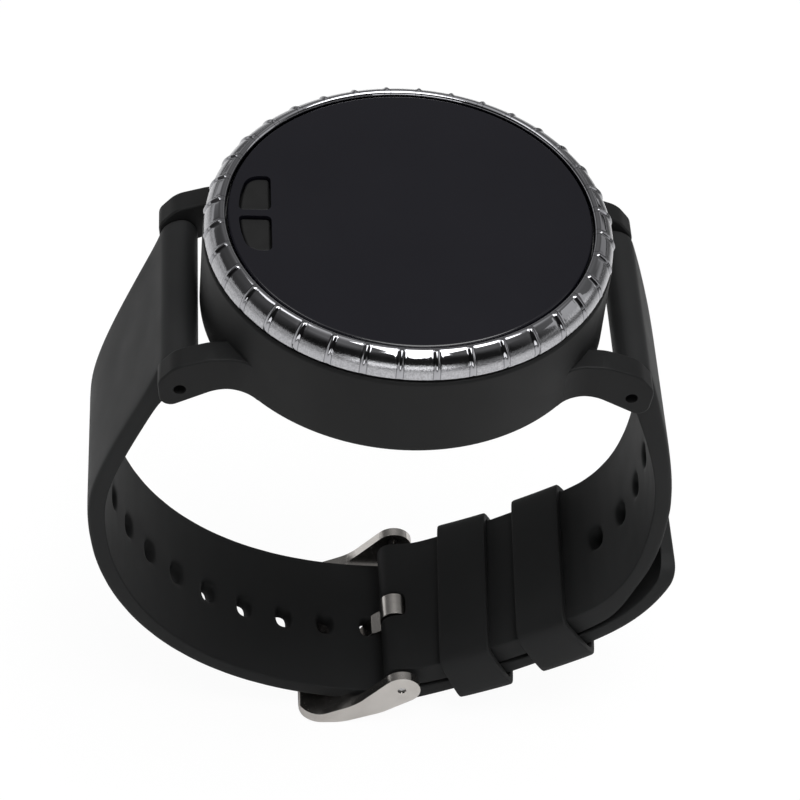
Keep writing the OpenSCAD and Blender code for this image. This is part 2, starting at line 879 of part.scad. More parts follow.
module battery_pad() {
    color("#e4e0d2")
        translate([0, 0, back_top_z])
            linear_extrude(pad_t)
                intersection() {
                    battery_plan();
                    translate([battery_x0 + 1.5, -battery_l])
                        square([battery_w - 3, 2 * battery_l]);
                }
}

module at_motor() {
    translate([motor_x, 0, back_top_z])
        children();
}

module motor_base() {
    color("#b8bbbe")
        at_motor()
            difference() {
                disc(motor_r, 0, motor_base_t);
                disc(motor_shaft_r, -cut, motor_base_t + cut);
            }
}

module motor_cover() {
    color("#b8bbbe")
        at_motor()
            difference() {
                disc(motor_r, motor_base_t, motor_h);
                disc(motor_r - motor_wall, motor_base_t - cut, motor_h - motor_wall);
                disc(motor_shaft_r, motor_base_t, motor_h + cut);
            }
}

module motor_shaft() {
    color("#d0d2d4")
        at_motor()
            disc(motor_shaft_r, 0, motor_h);
}

module eccentric_weight() {
    z0 = motor_base_t + 0.3;
    z1 = motor_h - motor_wall - 0.3;
    color("#7c7468")
        at_motor()
            difference() {
                union() {
                    disc(1.1, z0, z1);
                    rotate([0, 0, -75])
                        rotate_extrude(angle = 150)
                            translate([0.8, z0])
                                square([motor_r - motor_wall - 1.1, z1 - z0]);
                }
                disc(motor_shaft_r + fit_gap, z0 - cut, z1 + cut);
            }
}

// Strap

// Outline of a strap whose thickness lies inwards of its frames, or outwards where t is negative
function strap_outline(f, t) =
    concat(
        [for (g = f) place(g)],
        [for (i = [len(f) - 1:-1:0]) place(f[i]) - t[i] * outward(f[i])]);

// Front view of a strap: full width between the lugs, then drawn in to the strap's own width
module strap_width() {
    top = lug_bar_z + 6;
    rotate([90, 0, 90])
        linear_extrude(4 * case_d, center = true)
            polygon([
                [-strap_end_w / 2, top],
                [-strap_end_w / 2, lug_bar_z - 5],
                [-strap_w / 2, lug_bar_z - 20],
                [-strap_w / 2, -2 * case_d],
                [strap_w / 2, -2 * case_d],
                [strap_w / 2, lug_bar_z - 20],
                [strap_end_w / 2, lug_bar_z - 5],
                [strap_end_w / 2, top]
            ]);
}

// Turns local X to the way along the strap and local Z to its outward side
module on_strap(f) {
    translate([f[0], 0, f[1]])
        rotate([0, 90 - atan2(f[3], f[2]), 0])
            rotate([0, 0, 180])
                children();
}

module oval(across, along, h) {
    for (side = [-1, 1])
        translate([0, side * (across - along) / 2, 0])
            cylinder(r = along / 2, h = h, center = true, $fn = 32);
    cube([along, across - along, h], center = true);
}

module strap_hole(f) {
    on_strap(f)
        oval(hole_w, hole_l, 4 * short_t);
}

module tail_corners() {
    f = long_frames[len(long_frames) - 1];
    on_strap(f)
        for (side = [-1, 1])
            translate([-tail_corner_r, side * (strap_w / 2 - tail_corner_r), 0])
                difference() {
                    translate([0, side > 0 ? 0 : -2 * tail_corner_r, -5])
                        cube([2 * tail_corner_r, 2 * tail_corner_r, 10]);
                    cylinder(r = tail_corner_r, h = 12, center = true);
                }
}

module long_strap() {
    color("#232324")
        difference() {
            intersection() {
                along_y(-strap_end_w / 2, strap_end_w / 2)
                    union() {
                        polygon(strap_outline(long_frames, [for (s = long_runs) long_thickness(s)]));
                        translate([-lug_x, lug_bar_z] - long_shift * [cos(left_slant), -sin(left_slant)])
                            circle(r = long_end_r);
                    }
                strap_width();
            }
            on_y_axis([-lug_x, lug_bar_z], -case_r)
                cylinder(r = strap_end_bore_r, h = case_d);
            for (i = [-holes_to_lug:holes_to_tail])
                strap_hole(on_frames(long_frames, long_runs, tang_hole_s + i * hole_pitch));
            tail_corners();
        }
}

module short_strap() {
    slot_half = tang_w / 2 + tang_slot_gap;
    slot_r = pin_boss_r + fit_gap;
    color("#232324")
        difference() {
            union() {
                intersection() {
                    along_y(-strap_end_w / 2, strap_end_w / 2)
                        union() {
                            polygon(strap_outline(short_frames, [for (s = short_runs) -short_thickness(s)]));
                            translate([lug_x, lug_bar_z] + short_shift * right_out)
                                circle(r = short_end_r);
                        }
                    strap_width();
                }
                along_y(-strap_w / 2, strap_w / 2)
                    union() {
                        translate(pin)
                            circle(r = pin_boss_r);
                        intersection() {
                            polygon([
                                pin,
                                stack_c + (short_in_r + 0.15) * [cos(pin_angle), sin(pin_angle)],
                                stack_c + short_in_r * [cos(band_start + 0.3), sin(band_start + 0.3)],
                                stack_c + (short_out_r - 0.1) * [cos(band_start + 0.3), sin(band_start + 0.3)],
                                stack_c + (pin_place_r + pin_boss_r - 0.2) * [cos(pin_angle), sin(pin_angle)]
                            ]);
                            translate(pin)
                                square([20, 20], center = true);
                        }
                    }
            }
            on_y_axis([lug_x, lug_bar_z], -case_r)
                cylinder(r = strap_end_bore_r, h = case_d);
            on_y_axis(pin, -case_r)
                cylinder(r = pin_r + 0.1, h = case_d);
            on_y_axis(pin, tang_y - slot_half)
                cylinder(r = slot_r, h = 2 * slot_half);
            for (i = [0:short_holes - 1])
                strap_hole(on_frames(short_frames, short_runs, short_hole_first + i * short_hole_pitch));
        }
}

// Spring bars

module bar_tube(p, r, bore, half) {
    on_y_axis(p, -half)
        difference() {
            cylinder(r = r, h = 2 * half);
            translate([0, 0, -cut])
                cylinder(r = bore, h = 2 * (half + cut));
        }
}

// Sliding tip: stem in the tube, flange, and the pin that enters the hole; side is the Y side
module bar_tip(p, side, flange_y, stem_len, stem_r, flange_r, tip_r, bite) {
    translate([p.x, 0, p.y])
        rotate([side > 0 ? -90 : 90, 0, 0]) {
            disc(stem_r, flange_y - stem_len, flange_y + 0.1);
            disc(flange_r, flange_y, flange_y + tip_flange_t);
            disc(tip_r, flange_y + tip_flange_t - 0.1, flange_y + tip_flange_t + tip_flange_gap + bite);
        }
}

long_bar_p = [-lug_x, lug_bar_z];
short_bar_p = [lug_x, lug_bar_z];
lug_flange_y = lug_in_y - tip_flange_gap - tip_flange_t;
lug_bar_half = lug_flange_y - tip_travel - 0.1;
lug_stem_len = tip_travel + 0.1 + stem_in;
pin_flange_y = arm_in_y - tip_flange_gap - tip_flange_t;
pin_bar_half = pin_flange_y - pin_travel - 0.1;
pin_stem_len = pin_travel + 0.1 + stem_in;

module long_bar() {
    color("#a7a9ac")
        bar_tube(long_bar_p, bar_r, bar_bore_r, lug_bar_half);
}

module short_bar() {
    color("#a7a9ac")
        bar_tube(short_bar_p, bar_r, bar_bore_r, lug_bar_half);
}

module buckle_bar() {
    color("#a7a9ac")
        bar_tube(pin, pin_r, pin_bore_r, pin_bar_half);
}

module lug_tip(p, side) {
    color("#b9bbbe")
        bar_tip(p, side, lug_flange_y, lug_stem_len, tip_stem_r, tip_flange_r, lug_tip_r, lug_tip_bite);
}

module long_tip_front() {
    lug_tip(long_bar_p, -1);
}

module long_tip_back() {
    lug_tip(long_bar_p, 1);
}

module short_tip_front() {
    lug_tip(short_bar_p, -1);
}

module short_tip_back() {
    lug_tip(short_bar_p, 1);
}

module buckle_tip(side) {
    color("#b9bbbe")
        bar_tip(pin, side, pin_flange_y, pin_stem_len, pin_stem_r, pin_flange_r, pin_tip_r, pin_tip_bite);
}

module buckle_tip_front() {
    buckle_tip(-1);
}

module buckle_tip_back() {
    buckle_tip(1);
}

module bar_spring(p, stem_r, flange_y, stem_len) {
    color("#8d8f92")
        bar_tube(p, stem_r - 0.03, stem_r - 0.2, flange_y - stem_len);
}

module long_bar_spring() {
    bar_spring(long_bar_p, tip_stem_r, lug_flange_y, lug_stem_len);
}

module short_bar_spring() {
    bar_spring(short_bar_p, tip_stem_r, lug_flange_y, lug_stem_len);
}

module buckle_bar_spring() {
    bar_spring(pin, pin_stem_r, pin_flange_y, pin_stem_len);
}

// Buckle

// Side view of an arm: a round end at the pin, drawn out into the thin front bar
function arm_outline() =
    let (a = pin, b = pin + bar_low)
    rounded([
        a + [1.3, arm_end_r],
        a + [arm_end_r, 0.7],
        a + [arm_end_r * 0.85, -1.5],
        a + [-2.2, -4.2],
        b + [3, 0.1],
        b + [-2.3, -0.1],
        b + [-2.6, 1.2],
        b + [0.5, bar_h + 0.05],
        a + [-5.6, -2.9],
        a + [-2.2, 1.2],
        a + [-1.2, arm_end_r]
    ], [1.1, 1.4, 1.4, 5, 6, 0.6, 0.5, 2, 5, 1.5, 1.2], 5);

module frame_plan() {
    x0 = pin.x + bar_low.x - 2.7;
    x1 = pin.x + 4;
    window_x = x0 + bar_w;
    difference() {
        polygon(rounded([[x0, -arm_out_y], [x1, -arm_out_y], [x1, arm_out_y], [x0, arm_out_y]],
            [frame_corner_r, 0, 0, frame_corner_r]));
        polygon(rounded([[window_x, -arm_in_y], [x1 + cut, -arm_in_y], [x1 + cut, arm_in_y], [window_x, arm_in_y]],
            [window_corner_r, 0, 0, window_corner_r]));
    }
}

module buckle_frame() {
    notch = tang_w + 0.5;
    color("#b9b4ac")
        difference() {
            intersection() {
                along_y(-arm_out_y - cut, arm_out_y + cut)
                    polygon(arm_outline());
                translate([0, 0, pin.y - 12])
                    linear_extrude(18)
                        frame_plan();
            }
            on_y_axis(pin, -arm_out_y - cut)
                cylinder(r = pin_hole_r, h = 2 * (arm_out_y + cut));
            along_y(tang_y - notch / 2, tang_y + notch / 2)
                polygon(concat(
                    [for (p = tang_spine(tang_t / 2 + 0.07)) p],
                    [[pin.x + bar_low.x - 5, pin.y + bar_low.y - 3], [pin.x, pin.y + bar_low.y - 3]]));
        }
}

// Middle line of the tang from the pin, moved up by lift
function tang_spine(lift) =
    let (foot = pin + tang_foot, tip = pin + [bar_low.x - 2.2, bar_low.y + 0.42])
    [foot + [0, lift], tip + [0, lift]];

module tang_side() {
    knee = pin + [-3.1, -1];
    foot = pin + tang_foot;
    tip = pin + [bar_low.x - 2.2, bar_low.y + 0.42];
    root = pin + [-0.9, -0.72];
    h = tang_t / 2;
    polygon(rounded([
        root + [0, h],
        knee + [-0.25, h],
        foot + [-h - 0.1, h],
        tip + [0, h],
        tip + [0, -h],
        foot + [h, -h],
        knee + [h, -h],
        root + [0, -h]
    ], [0, 0.9, 0.5, 0.3, 0.3, 1.1, 0.3, 0], 5));
    translate(pin)
        circle(r = pin_r + tang_play + tang_ring_t);
}

// Front view of the tang: full width at the pin, drawn in below the knee
module tang_width() {
    neck_half = (tang_w - tang_neck) / 2;
    rotate([90, 0, 90])
        linear_extrude(4 * case_d, center = true)
            polygon([
                [-tang_w / 2, pin.y + 4],
                [-tang_w / 2, pin.y - 1.6],
                [-neck_half, pin.y - 2.4],
                [-neck_half, pin.y - 12],
                [neck_half, pin.y - 12],
                [neck_half, pin.y - 2.4],
                [tang_w / 2, pin.y - 1.6],
                [tang_w / 2, pin.y + 4]
            ]);
}

module buckle_tang() {
    color("#b9b4ac")
        difference() {
            intersection() {
                along_y(-tang_w, tang_w)
                    tang_side();
                translate([0, tang_y, 0])
                    tang_width();
            }
            on_y_axis(pin, -tang_w)
                cylinder(r = pin_r + tang_play, h = 2 * tang_w);
        }
}

// Keepers: bands round both straps, on the arc that the straps share there, a little askew
module keeper(angle) {
    y_in = strap_w / 2 + keeper_side_gap;
    y_out = y_in + keeper_t;
    r_in = short_in_r - keeper_gap;
    r_out = stack_r + keeper_gap;
    translate([stack_c.x, 0, stack_c.y])
        rotate([0, -angle, 0])
            rotate([keeper_skew, 0, 0])
                rotate([90, 0, 0])
                    rotate([0, 0, -keeper_half])
                        rotate_extrude(angle = 2 * keeper_half)
                            difference() {
                                polygon(rounded([
                                    [r_in - keeper_t, -y_out],
                                    [r_out + keeper_t, -y_out],
                                    [r_out + keeper_t, y_out],
                                    [r_in - keeper_t, y_out]
                                ], [for (i = [0:3]) keeper_round]));
                                polygon(rounded([
                                    [r_in, -y_in],
                                    [r_out, -y_in],
                                    [r_out, y_in],
                                    [r_in, y_in]
                                ], [for (i = [0:3]) 0.3]));
                            }
}

module keeper_1() {
    color("#232324")
        keeper(keeper_1_angle);
}

module keeper_2() {
    color("#232324")
        keeper(keeper_2_angle);
}

case_body();
case_back();
back_seal();
back_screws();
charge_contacts();
rotary_bezel();
bezel_magnets();
bezel_snap_ring();
click_ball();
click_spring();
lens();
lens_adhesive();
display_module();
chassis_plate();
switch_bodies();
upper_button();
upper_plunger();
lower_button();
lower_plunger();
main_board();
board_chips();
board_screws();
battery();
battery_pad();
motor_base();
motor_cover();
motor_shaft();
eccentric_weight();
long_strap();
short_strap();
long_bar();
short_bar();
long_bar_spring();
short_bar_spring();
long_tip_front();
long_tip_back();
short_tip_front();
short_tip_back();
buckle_bar();
buckle_bar_spring();
buckle_tip_front();
buckle_tip_back();
buckle_frame();
buckle_tang();
keeper_1();
keeper_2();
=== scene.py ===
import math

import bpy
import numpy as np
from mathutils import Matrix, Vector


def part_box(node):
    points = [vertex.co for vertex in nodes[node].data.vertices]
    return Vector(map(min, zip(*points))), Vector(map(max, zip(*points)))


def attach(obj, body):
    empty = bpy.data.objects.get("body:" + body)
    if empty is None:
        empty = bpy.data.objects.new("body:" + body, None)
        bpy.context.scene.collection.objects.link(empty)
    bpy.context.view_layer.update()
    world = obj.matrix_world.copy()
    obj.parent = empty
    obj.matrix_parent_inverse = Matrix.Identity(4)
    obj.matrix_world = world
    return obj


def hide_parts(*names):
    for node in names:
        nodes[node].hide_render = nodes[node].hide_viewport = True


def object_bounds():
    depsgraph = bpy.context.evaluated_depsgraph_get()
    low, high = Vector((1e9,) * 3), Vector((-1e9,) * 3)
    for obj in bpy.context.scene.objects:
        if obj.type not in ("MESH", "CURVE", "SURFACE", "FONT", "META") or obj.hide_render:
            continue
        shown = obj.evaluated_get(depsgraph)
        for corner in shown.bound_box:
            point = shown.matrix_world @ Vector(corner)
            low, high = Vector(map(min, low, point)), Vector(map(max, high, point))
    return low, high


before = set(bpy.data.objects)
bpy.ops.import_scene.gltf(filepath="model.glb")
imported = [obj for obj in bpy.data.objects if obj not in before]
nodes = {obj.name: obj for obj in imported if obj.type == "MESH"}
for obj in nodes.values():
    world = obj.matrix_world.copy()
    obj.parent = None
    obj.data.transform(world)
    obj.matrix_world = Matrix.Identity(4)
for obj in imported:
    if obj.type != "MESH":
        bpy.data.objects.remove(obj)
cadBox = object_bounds()
mm = 0.001
print("Frame loaded:", len(nodes), "nodes")


# Small helpers for working as by hand

def startClean():
    if bpy.context.object and bpy.context.object.mode != "OBJECT":
        bpy.ops.object.mode_set(mode="OBJECT")
    bpy.ops.object.select_all(action="DESELECT")


def pick(obj):
    startClean()
    obj.select_set(True)
    bpy.context.view_layer.objects.active = obj


def editAll(obj):
    pick(obj)
    bpy.ops.object.mode_set(mode="EDIT")
    bpy.ops.mesh.select_all(action="SELECT")


def editDone():
    bpy.ops.object.mode_set(mode="OBJECT")


def pull(way):
    bpy.ops.mesh.extrude_region_move(TRANSFORM_OT_translate={"value": way})


def nameIt(name):
    obj = bpy.context.object
    obj.name = name
    obj.data.name = name
    return obj


def moveVertices(obj, rule):
    pick(obj)
    for vertex in obj.data.vertices:
        vertex.co = rule(vertex.co)
    obj.data.update()


def editNone(obj, kind):
    pick(obj)
    bpy.ops.object.mode_set(mode="EDIT")
    bpy.ops.mesh.select_mode(type=kind)
    bpy.ops.mesh.select_all(action="DESELECT")
    editDone()


def chooseFaces(obj, test):
    editNone(obj, "FACE")
    for face in obj.data.polygons:
        face.select = bool(test(face.center))
    bpy.ops.object.mode_set(mode="EDIT")


def chooseEdges(obj, test):
    editNone(obj, "EDGE")
    spots = [v.co for v in obj.data.vertices]
    for edge in obj.data.edges:
        edge.select = bool(test(spots[edge.vertices[0]], spots[edge.vertices[1]]))
    bpy.ops.object.mode_set(mode="EDIT")


def bevelChosen(offset, segments, **settings):
    bpy.ops.mesh.bevel(offset=offset * mm, segments=segments, affect="EDGES", **settings)
    editDone()


def withModifier(obj, kind, **settings):
    pick(obj)
    modifier = obj.modifiers.new(kind.title(), kind)
    for key, value in settings.items():
        setattr(modifier, key, value)
    bpy.ops.object.modifier_apply(modifier=modifier.name)
    return obj


def roundEdges(obj, width, segments, angle, **settings):
    return withModifier(obj, "BEVEL", width=width * mm, segments=segments, limit_method="ANGLE",
                        angle_limit=math.radians(angle), **settings)


def combine(obj, other, operation="DIFFERENCE"):
    withModifier(obj, "BOOLEAN", operation=operation, object=other, solver="EXACT")
    bpy.data.objects.remove(other)
    return obj


def turnOut():
    bpy.ops.mesh.normals_make_consistent(inside=False)
    editDone()


def mergeAndTurnOut(obj, distance=0.001):
    editAll(obj)
    bpy.ops.mesh.remove_doubles(threshold=distance * mm)
    turnOut()
    return obj


def smoothShade(obj, angle=40):
    pick(obj)
    bpy.ops.object.shade_smooth_by_angle(angle=math.radians(angle))
    return obj


def soften(obj, levels=2):
    return withModifier(obj, "SUBSURF", levels=levels, render_levels=levels)


def outline(name, points, fill):
    # a circle whose corners are moved onto the outline, points in millimetres
    startClean()
    bpy.ops.mesh.primitive_circle_add(vertices=len(points), radius=0.01, fill_type=fill)
    obj = nameIt(name)
    for vertex, point in zip(obj.data.vertices, points):
        vertex.co = [value * mm for value in point]
    obj.data.update()
    return obj


def prism(name, points, way):
    # a flat outline drawn out to a solid
    obj = outline(name, points, "NGON")
    editAll(obj)
    pull([value * mm for value in way])
    bpy.ops.mesh.select_all(action="SELECT")
    turnOut()
    return obj


def spunRing(name, profile, steps, distance):
    # profile is a closed loop of (radius, height)
    obj = outline(name, [(radius, 0, height) for radius, height in profile], "NOTHING")
    bpy.ops.object.mode_set(mode="EDIT")
    bpy.ops.mesh.select_mode(type="VERT")
    bpy.ops.mesh.select_all(action="SELECT")
    bpy.ops.mesh.spin(steps=steps, angle=2 * math.pi, center=(0, 0, 0), axis=(0, 0, 1))
    editDone()
    return mergeAndTurnOut(obj, distance)


def cylinder(name, radius, length, place, sides, turn=(0, 0, 0)):
    startClean()
    bpy.ops.mesh.primitive_cylinder_add(vertices=sides, radius=radius * mm, depth=length * mm,
                                        location=[value * mm for value in place], rotation=turn)
    obj = nameIt(name)
    bpy.ops.object.transform_apply(location=True, rotation=True, scale=True)
    return obj


def rodAlongY(name, x, z, radius, y0, y1, sides=48):
    return cylinder(name, radius, y1 - y0, (x, (y0 + y1) / 2, z), sides, (math.pi / 2, 0, 0))


def disc(name, radius, low, top, sides):
    return cylinder(name, radius, top - low, (0, 0, (low + top) / 2), sides)


def copyOfNode(node, name):
    startClean()
    obj = nodes[node].copy()
    obj.data = obj.data.copy()
    obj.parent = None
    obj.matrix_world = Matrix()
    obj.name = name
    obj.data.name = name
    obj.data.materials.clear()
    bpy.context.scene.collection.objects.link(obj)
    pick(obj)
    if obj.data.has_custom_normals:
        bpy.ops.mesh.customdata_custom_splitnormals_clear()
    editAll(obj)
    bpy.ops.mesh.remove_doubles(threshold=0.002 * mm)
    bpy.ops.mesh.dissolve_limited(angle_limit=math.radians(0.6))
    editDone()
    return obj


# Outlines, in millimetres

def roundedOutline(points, radii, steps=6):
    result = []
    count = len(points)
    for i in range(count):
        before, corner, after = (Vector(points[j % count]) for j in (i - 1, i, i + 1))
        if radii[i] <= 0:
            result.append(corner)
            continue
        u, v = (before - corner).normalized(), (after - corner).normalized()
        half = math.acos(max(-1, min(1, u.dot(v)))) / 2
        centre = corner + (u + v).normalized() * radii[i] / math.sin(half)
        first = corner + u * radii[i] / math.tan(half) - centre
        last = corner + v * radii[i] / math.tan(half) - centre
        a0 = math.atan2(first.y, first.x)
        turn = math.atan2(last.y, last.x) - a0
        turn = (turn + math.pi) % (2 * math.pi) - math.pi
        for k in range(steps + 1):
            a = a0 + turn * k / steps
            result.append(centre + radii[i] * Vector((math.cos(a), math.sin(a))))
    return result


def ease(u):
    u = max(0.0, min(1.0, u))
    return (1 - u) ** 2 * (1 + 2 * u)


# Materials: shared effects are node groups, each shader stays in its own material

def newGroup(name, inputs, outputs):
    group = bpy.data.node_groups.new(name, "ShaderNodeTree")
    for socket, kind, value in inputs:
        made = group.interface.new_socket(socket, in_out="INPUT", socket_type=kind)
        if value is not None:
            made.default_value = value
    for socket, kind in outputs:
        group.interface.new_socket(socket, in_out="OUTPUT", socket_type=kind)
    start = group.nodes.new("NodeGroupInput")
    end = group.nodes.new("NodeGroupOutput")
    return group, start, end


def feed(tree, value, socket):
    if isinstance(value, bpy.types.NodeSocket):
        tree.links.new(value, socket)
    else:
        socket.default_value = value


def mathNode(tree, operation, first, second=0.0):
    node = tree.nodes.new("ShaderNodeMath")
    node.operation = operation
    feed(tree, first, node.inputs[0])
    feed(tree, second, node.inputs[1])
    return node.outputs[0]


def mixColors(tree, factor, first, second, blend="MIX"):
    node = tree.nodes.new("ShaderNodeMix")
    node.data_type = "RGBA"
    node.blend_type = blend
    for socket, value in (("Factor", factor), ("A", first), ("B", second)):
        feed(tree, value, node.inputs[socket])
    return node.outputs["Result"]


def mixShaders(tree, factor, first, second, output):
    mix = tree.nodes.new("ShaderNodeMixShader")
    tree.links.new(factor, mix.inputs["Fac"])
    tree.links.new(first.outputs[0], mix.inputs[1])
    tree.links.new(second.outputs[0], mix.inputs[2])
    tree.links.new(mix.outputs[0], tree.nodes[output].inputs["Surface"])


def axes(tree, source):
    split = tree.nodes.new("ShaderNodeSeparateXYZ")
    tree.links.new(source, split.inputs[0])
    return split.outputs


def surfaceGroup(name, fineDetail, fineRoughness, slowDetail):
    # a fine noise as height for the bump, and a slow one as mask for colour and finish
    inputs = [("Vector", "NodeSocketVector", None), ("Fine", "NodeSocketFloat", 4000.0),
              ("Slow", "NodeSocketFloat", 240.0)]
    outputs = [("Height", "NodeSocketFloat"), ("Mask", "NodeSocketFloat")]
    group, start, end = newGroup(name, inputs, outputs)
    for scale, output, detail in (("Fine", "Height", fineDetail), ("Slow", "Mask", slowDetail)):
        noise = group.nodes.new("ShaderNodeTexNoise")
        noise.inputs["Detail"].default_value = detail
        if scale == "Fine":
            noise.inputs["Roughness"].default_value = fineRoughness
        group.links.new(start.outputs["Vector"], noise.inputs["Vector"])
        group.links.new(start.outputs[scale], noise.inputs["Scale"])
        group.links.new(noise.outputs[0], end.inputs[output])
    return group


# skin of a moulded or cast piece
mouldedGrain = surfaceGroup("mouldedGrain", 3, 0.65, 4)
# lines of brushing or turning, stretched by the mapping
drawnLines = surfaceGroup("drawnLines", 5, 0.7, 3)


def newMaterial(name, sockets):
    material = bpy.data.materials.new(name)
    material.use_nodes = True
    tree = material.node_tree
    shader = tree.nodes["Principled BSDF"]
    for socket, value in sockets.items():
        shader.inputs[socket].default_value = value
    return material, tree, shader


def objectPlace(tree, stretch=(1, 1, 1)):
    place = tree.nodes.new("ShaderNodeTexCoord")
    mapping = tree.nodes.new("ShaderNodeMapping")
    mapping.inputs["Scale"].default_value = stretch
    tree.links.new(place.outputs["Object"], mapping.inputs["Vector"])
    return mapping.outputs["Vector"]


def effect(tree, group, vector, fine, slow):
    node = tree.nodes.new("ShaderNodeGroup")
    node.node_tree = group
    tree.links.new(vector, node.inputs["Vector"])
    node.inputs["Fine"].default_value = fine
    node.inputs["Slow"].default_value = slow
    return node


def ramp(tree, fac, stops):
    node = tree.nodes.new("ShaderNodeValToRGB")
    elements = node.color_ramp.elements
    while len(elements) < len(stops):
        elements.new(0.5)
    for element, (position, color) in zip(elements, stops):
        element.position = position
        element.color = (*color, 1)
    tree.links.new(fac, node.inputs["Fac"])
    return node.outputs["Color"]


def twoTone(tree, mask, dark, light):
    return ramp(tree, mask, [(0.3, dark), (0.7, light)])


def spread(tree, fac, low, high, fromLow=0.3, fromHigh=0.7):
    node = tree.nodes.new("ShaderNodeMapRange")
    tree.links.new(fac, node.inputs["Value"])
    ends = {"From Min": fromLow, "From Max": fromHigh, "To Min": low, "To Max": high}
    for socket, value in ends.items():
        node.inputs[socket].default_value = value
    return node.outputs["Result"]


def bump(tree, shader, height, strength, depth):
    node = tree.nodes.new("ShaderNodeBump")
    node.inputs["Strength"].default_value = strength
    node.inputs["Distance"].default_value = depth * mm
    tree.links.new(height, node.inputs["Height"])
    tree.links.new(node.outputs["Normal"], shader.inputs["Normal"])


def grey(value, warm=0.0):
    return (value * (1 + warm), value, value * (1 - warm))


def grainyMaterial(name, dark, light, roughness, grain, patches, depth):
    material, tree, shader = newMaterial(name, {"Metallic": metal.get(name, 0.0),
                                                "Specular IOR Level": shine.get(name, 0.5)})
    skin = effect(tree, mouldedGrain, objectPlace(tree), grain, patches)
    tree.links.new(twoTone(tree, skin.outputs["Mask"], dark, light), shader.inputs["Base Color"])
    tree.links.new(spread(tree, skin.outputs["Mask"], *roughness), shader.inputs["Roughness"])
    bump(tree, shader, skin.outputs["Height"], 0.5, depth)
    return material


def drawnMaterial(name, dark, light, roughness, lines, stretch, depth):
    material, tree, shader = newMaterial(name, {"Metallic": 1.0})
    skin = effect(tree, drawnLines, objectPlace(tree, stretch), lines, 240)
    tree.links.new(twoTone(tree, skin.outputs["Mask"], dark, light), shader.inputs["Base Color"])
    tree.links.new(spread(tree, skin.outputs["Height"], *roughness), shader.inputs["Roughness"])
    bump(tree, shader, skin.outputs["Height"], 0.3, depth)
    return material


# darker and lighter colour, roughness from and to, grain and patches per metre,
# and the depth of the grain in millimetres
grainy = {
    "silicone": (grey(0.0186, -0.02), grey(0.0224, -0.02), (0.56, 0.64), 5200, 160, 0.02),
    "caseSkin": (grey(0.0102, -0.02), grey(0.013, -0.02), (0.5, 0.58), 9000, 220, 0.012),
    "buttonSkin": (grey(0.0085), grey(0.0105), (0.46, 0.54), 8000, 500, 0.012),
    "backSkin": (grey(0.016), grey(0.021), (0.4, 0.5), 6000, 200, 0.015),
    "sealRubber": (grey(0.012), grey(0.016), (0.5, 0.62), 4000, 300, 0.01),
    "chipBody": (grey(0.018), grey(0.024), (0.5, 0.6), 9000, 700, 0.01),
    "plungerSkin": (grey(0.62, 0.02), grey(0.7, 0.02), (0.35, 0.45), 6000, 500, 0.006),
    "displayGlass": (grey(0.006, -0.1), grey(0.01, -0.1), (0.08, 0.14), 3000, 120, 0.002),
    "tape": ((0.16, 0.16, 0.165), (0.22, 0.22, 0.225), (0.6, 0.75), 7000, 900, 0.02),
    "boardMask": ((0.008, 0.06, 0.024), (0.014, 0.095, 0.04), (0.25, 0.4), 2600, 900, 0.012),
    "cellFoil": (grey(0.5, -0.02), grey(0.62, -0.02), (0.3, 0.45), 900, 300, 0.04),
}
shine = {"silicone": 0.17, "caseSkin": 0.18, "buttonSkin": 0.24}
metal = {"cellFoil": 1.0}
# the same, with the lines per metre and how they are stretched along x, y and z
drawn = {
    "buckleSteel": (grey(0.57, 0.05), grey(0.67, 0.045), (0.16, 0.28), 2600, (1, 4, 1), 0.006),
    "barSteel": (grey(0.5), grey(0.62), (0.2, 0.34), 3400, (1, 0.15, 1), 0.006),
    "sheetSteel": (grey(0.46), grey(0.58), (0.28, 0.42), 2400, (0.12, 1, 1), 0.006),
    "nickel": (grey(0.62, 0.01), grey(0.72, 0.01), (0.12, 0.22), 2600, (1, 1, 1), 0.004),
    "gold": ((0.72, 0.5, 0.2), (0.84, 0.62, 0.28), (0.14, 0.26), 3000, (1, 1, 1), 0.004),
    "weightMetal": (grey(0.28, 0.04), grey(0.36, 0.04), (0.4, 0.55), 3000, (1, 1, 1), 0.01),
}
looks = {}
for name, row in grainy.items():
    looks[name] = grainyMaterial(name, *row)
for name, row in drawn.items():
    looks[name] = drawnMaterial(name, *row)


# Bezel's sizes, which its chrome also reads

bezel = {
    "bore": 20.5, "low": 12.95, "top": 15.93, "groove": (13.35, 13.95), "grooveDepth": 0.45,
    "flank": 2.35, "crown": 0.92, "swell": 0.36, "highest": 16.02,
    "beads": 36, "firstBead": 4.64, "beadHalf": 0.34, "beadHeight": 0.2, "beadR": 22.3,
    "valley": 0.012, "valleyAt": 0.56, "valleyHalf": 0.14, "tilt": (14, 70), "seam": -1.945,
    "merge": 0.0005, "beadRise": (0.3, 0.35), "beadFade": (0.52, 0.3),
    "columns": [1.4, 1.0, 0.78, 0.65, 0.56, 0.47, 0.38, 0.29, 0.19, 0.1],
}


chrome = {
    # the darkest colour here is painted shade, laid in a thin line along each bead's foot
    "crown": (0.4, 0.4, 0.42, 1), "line": (0.1, 0.1, 0.11, 1),
    "speckle": [(0.35, (0.34, 0.34, 0.355)), (0.65, (0.52, 0.52, 0.54))],
    "polish": (0.02, 0.06), "satin": 0.13, "grain": (5200, 420), "grainDepth": 0.02,
    # heights between which the satin band fades out, and how far from a bead it
    # and the thin line of painted shade at the bead's foot lie, as shares of the beads' pitch
    "band": (14.9, 15.5), "offBead": (0.085, 0.1), "lineAt": 0.098, "lineWide": (0.008, 0.02),
    "lineDark": 0.35,
}


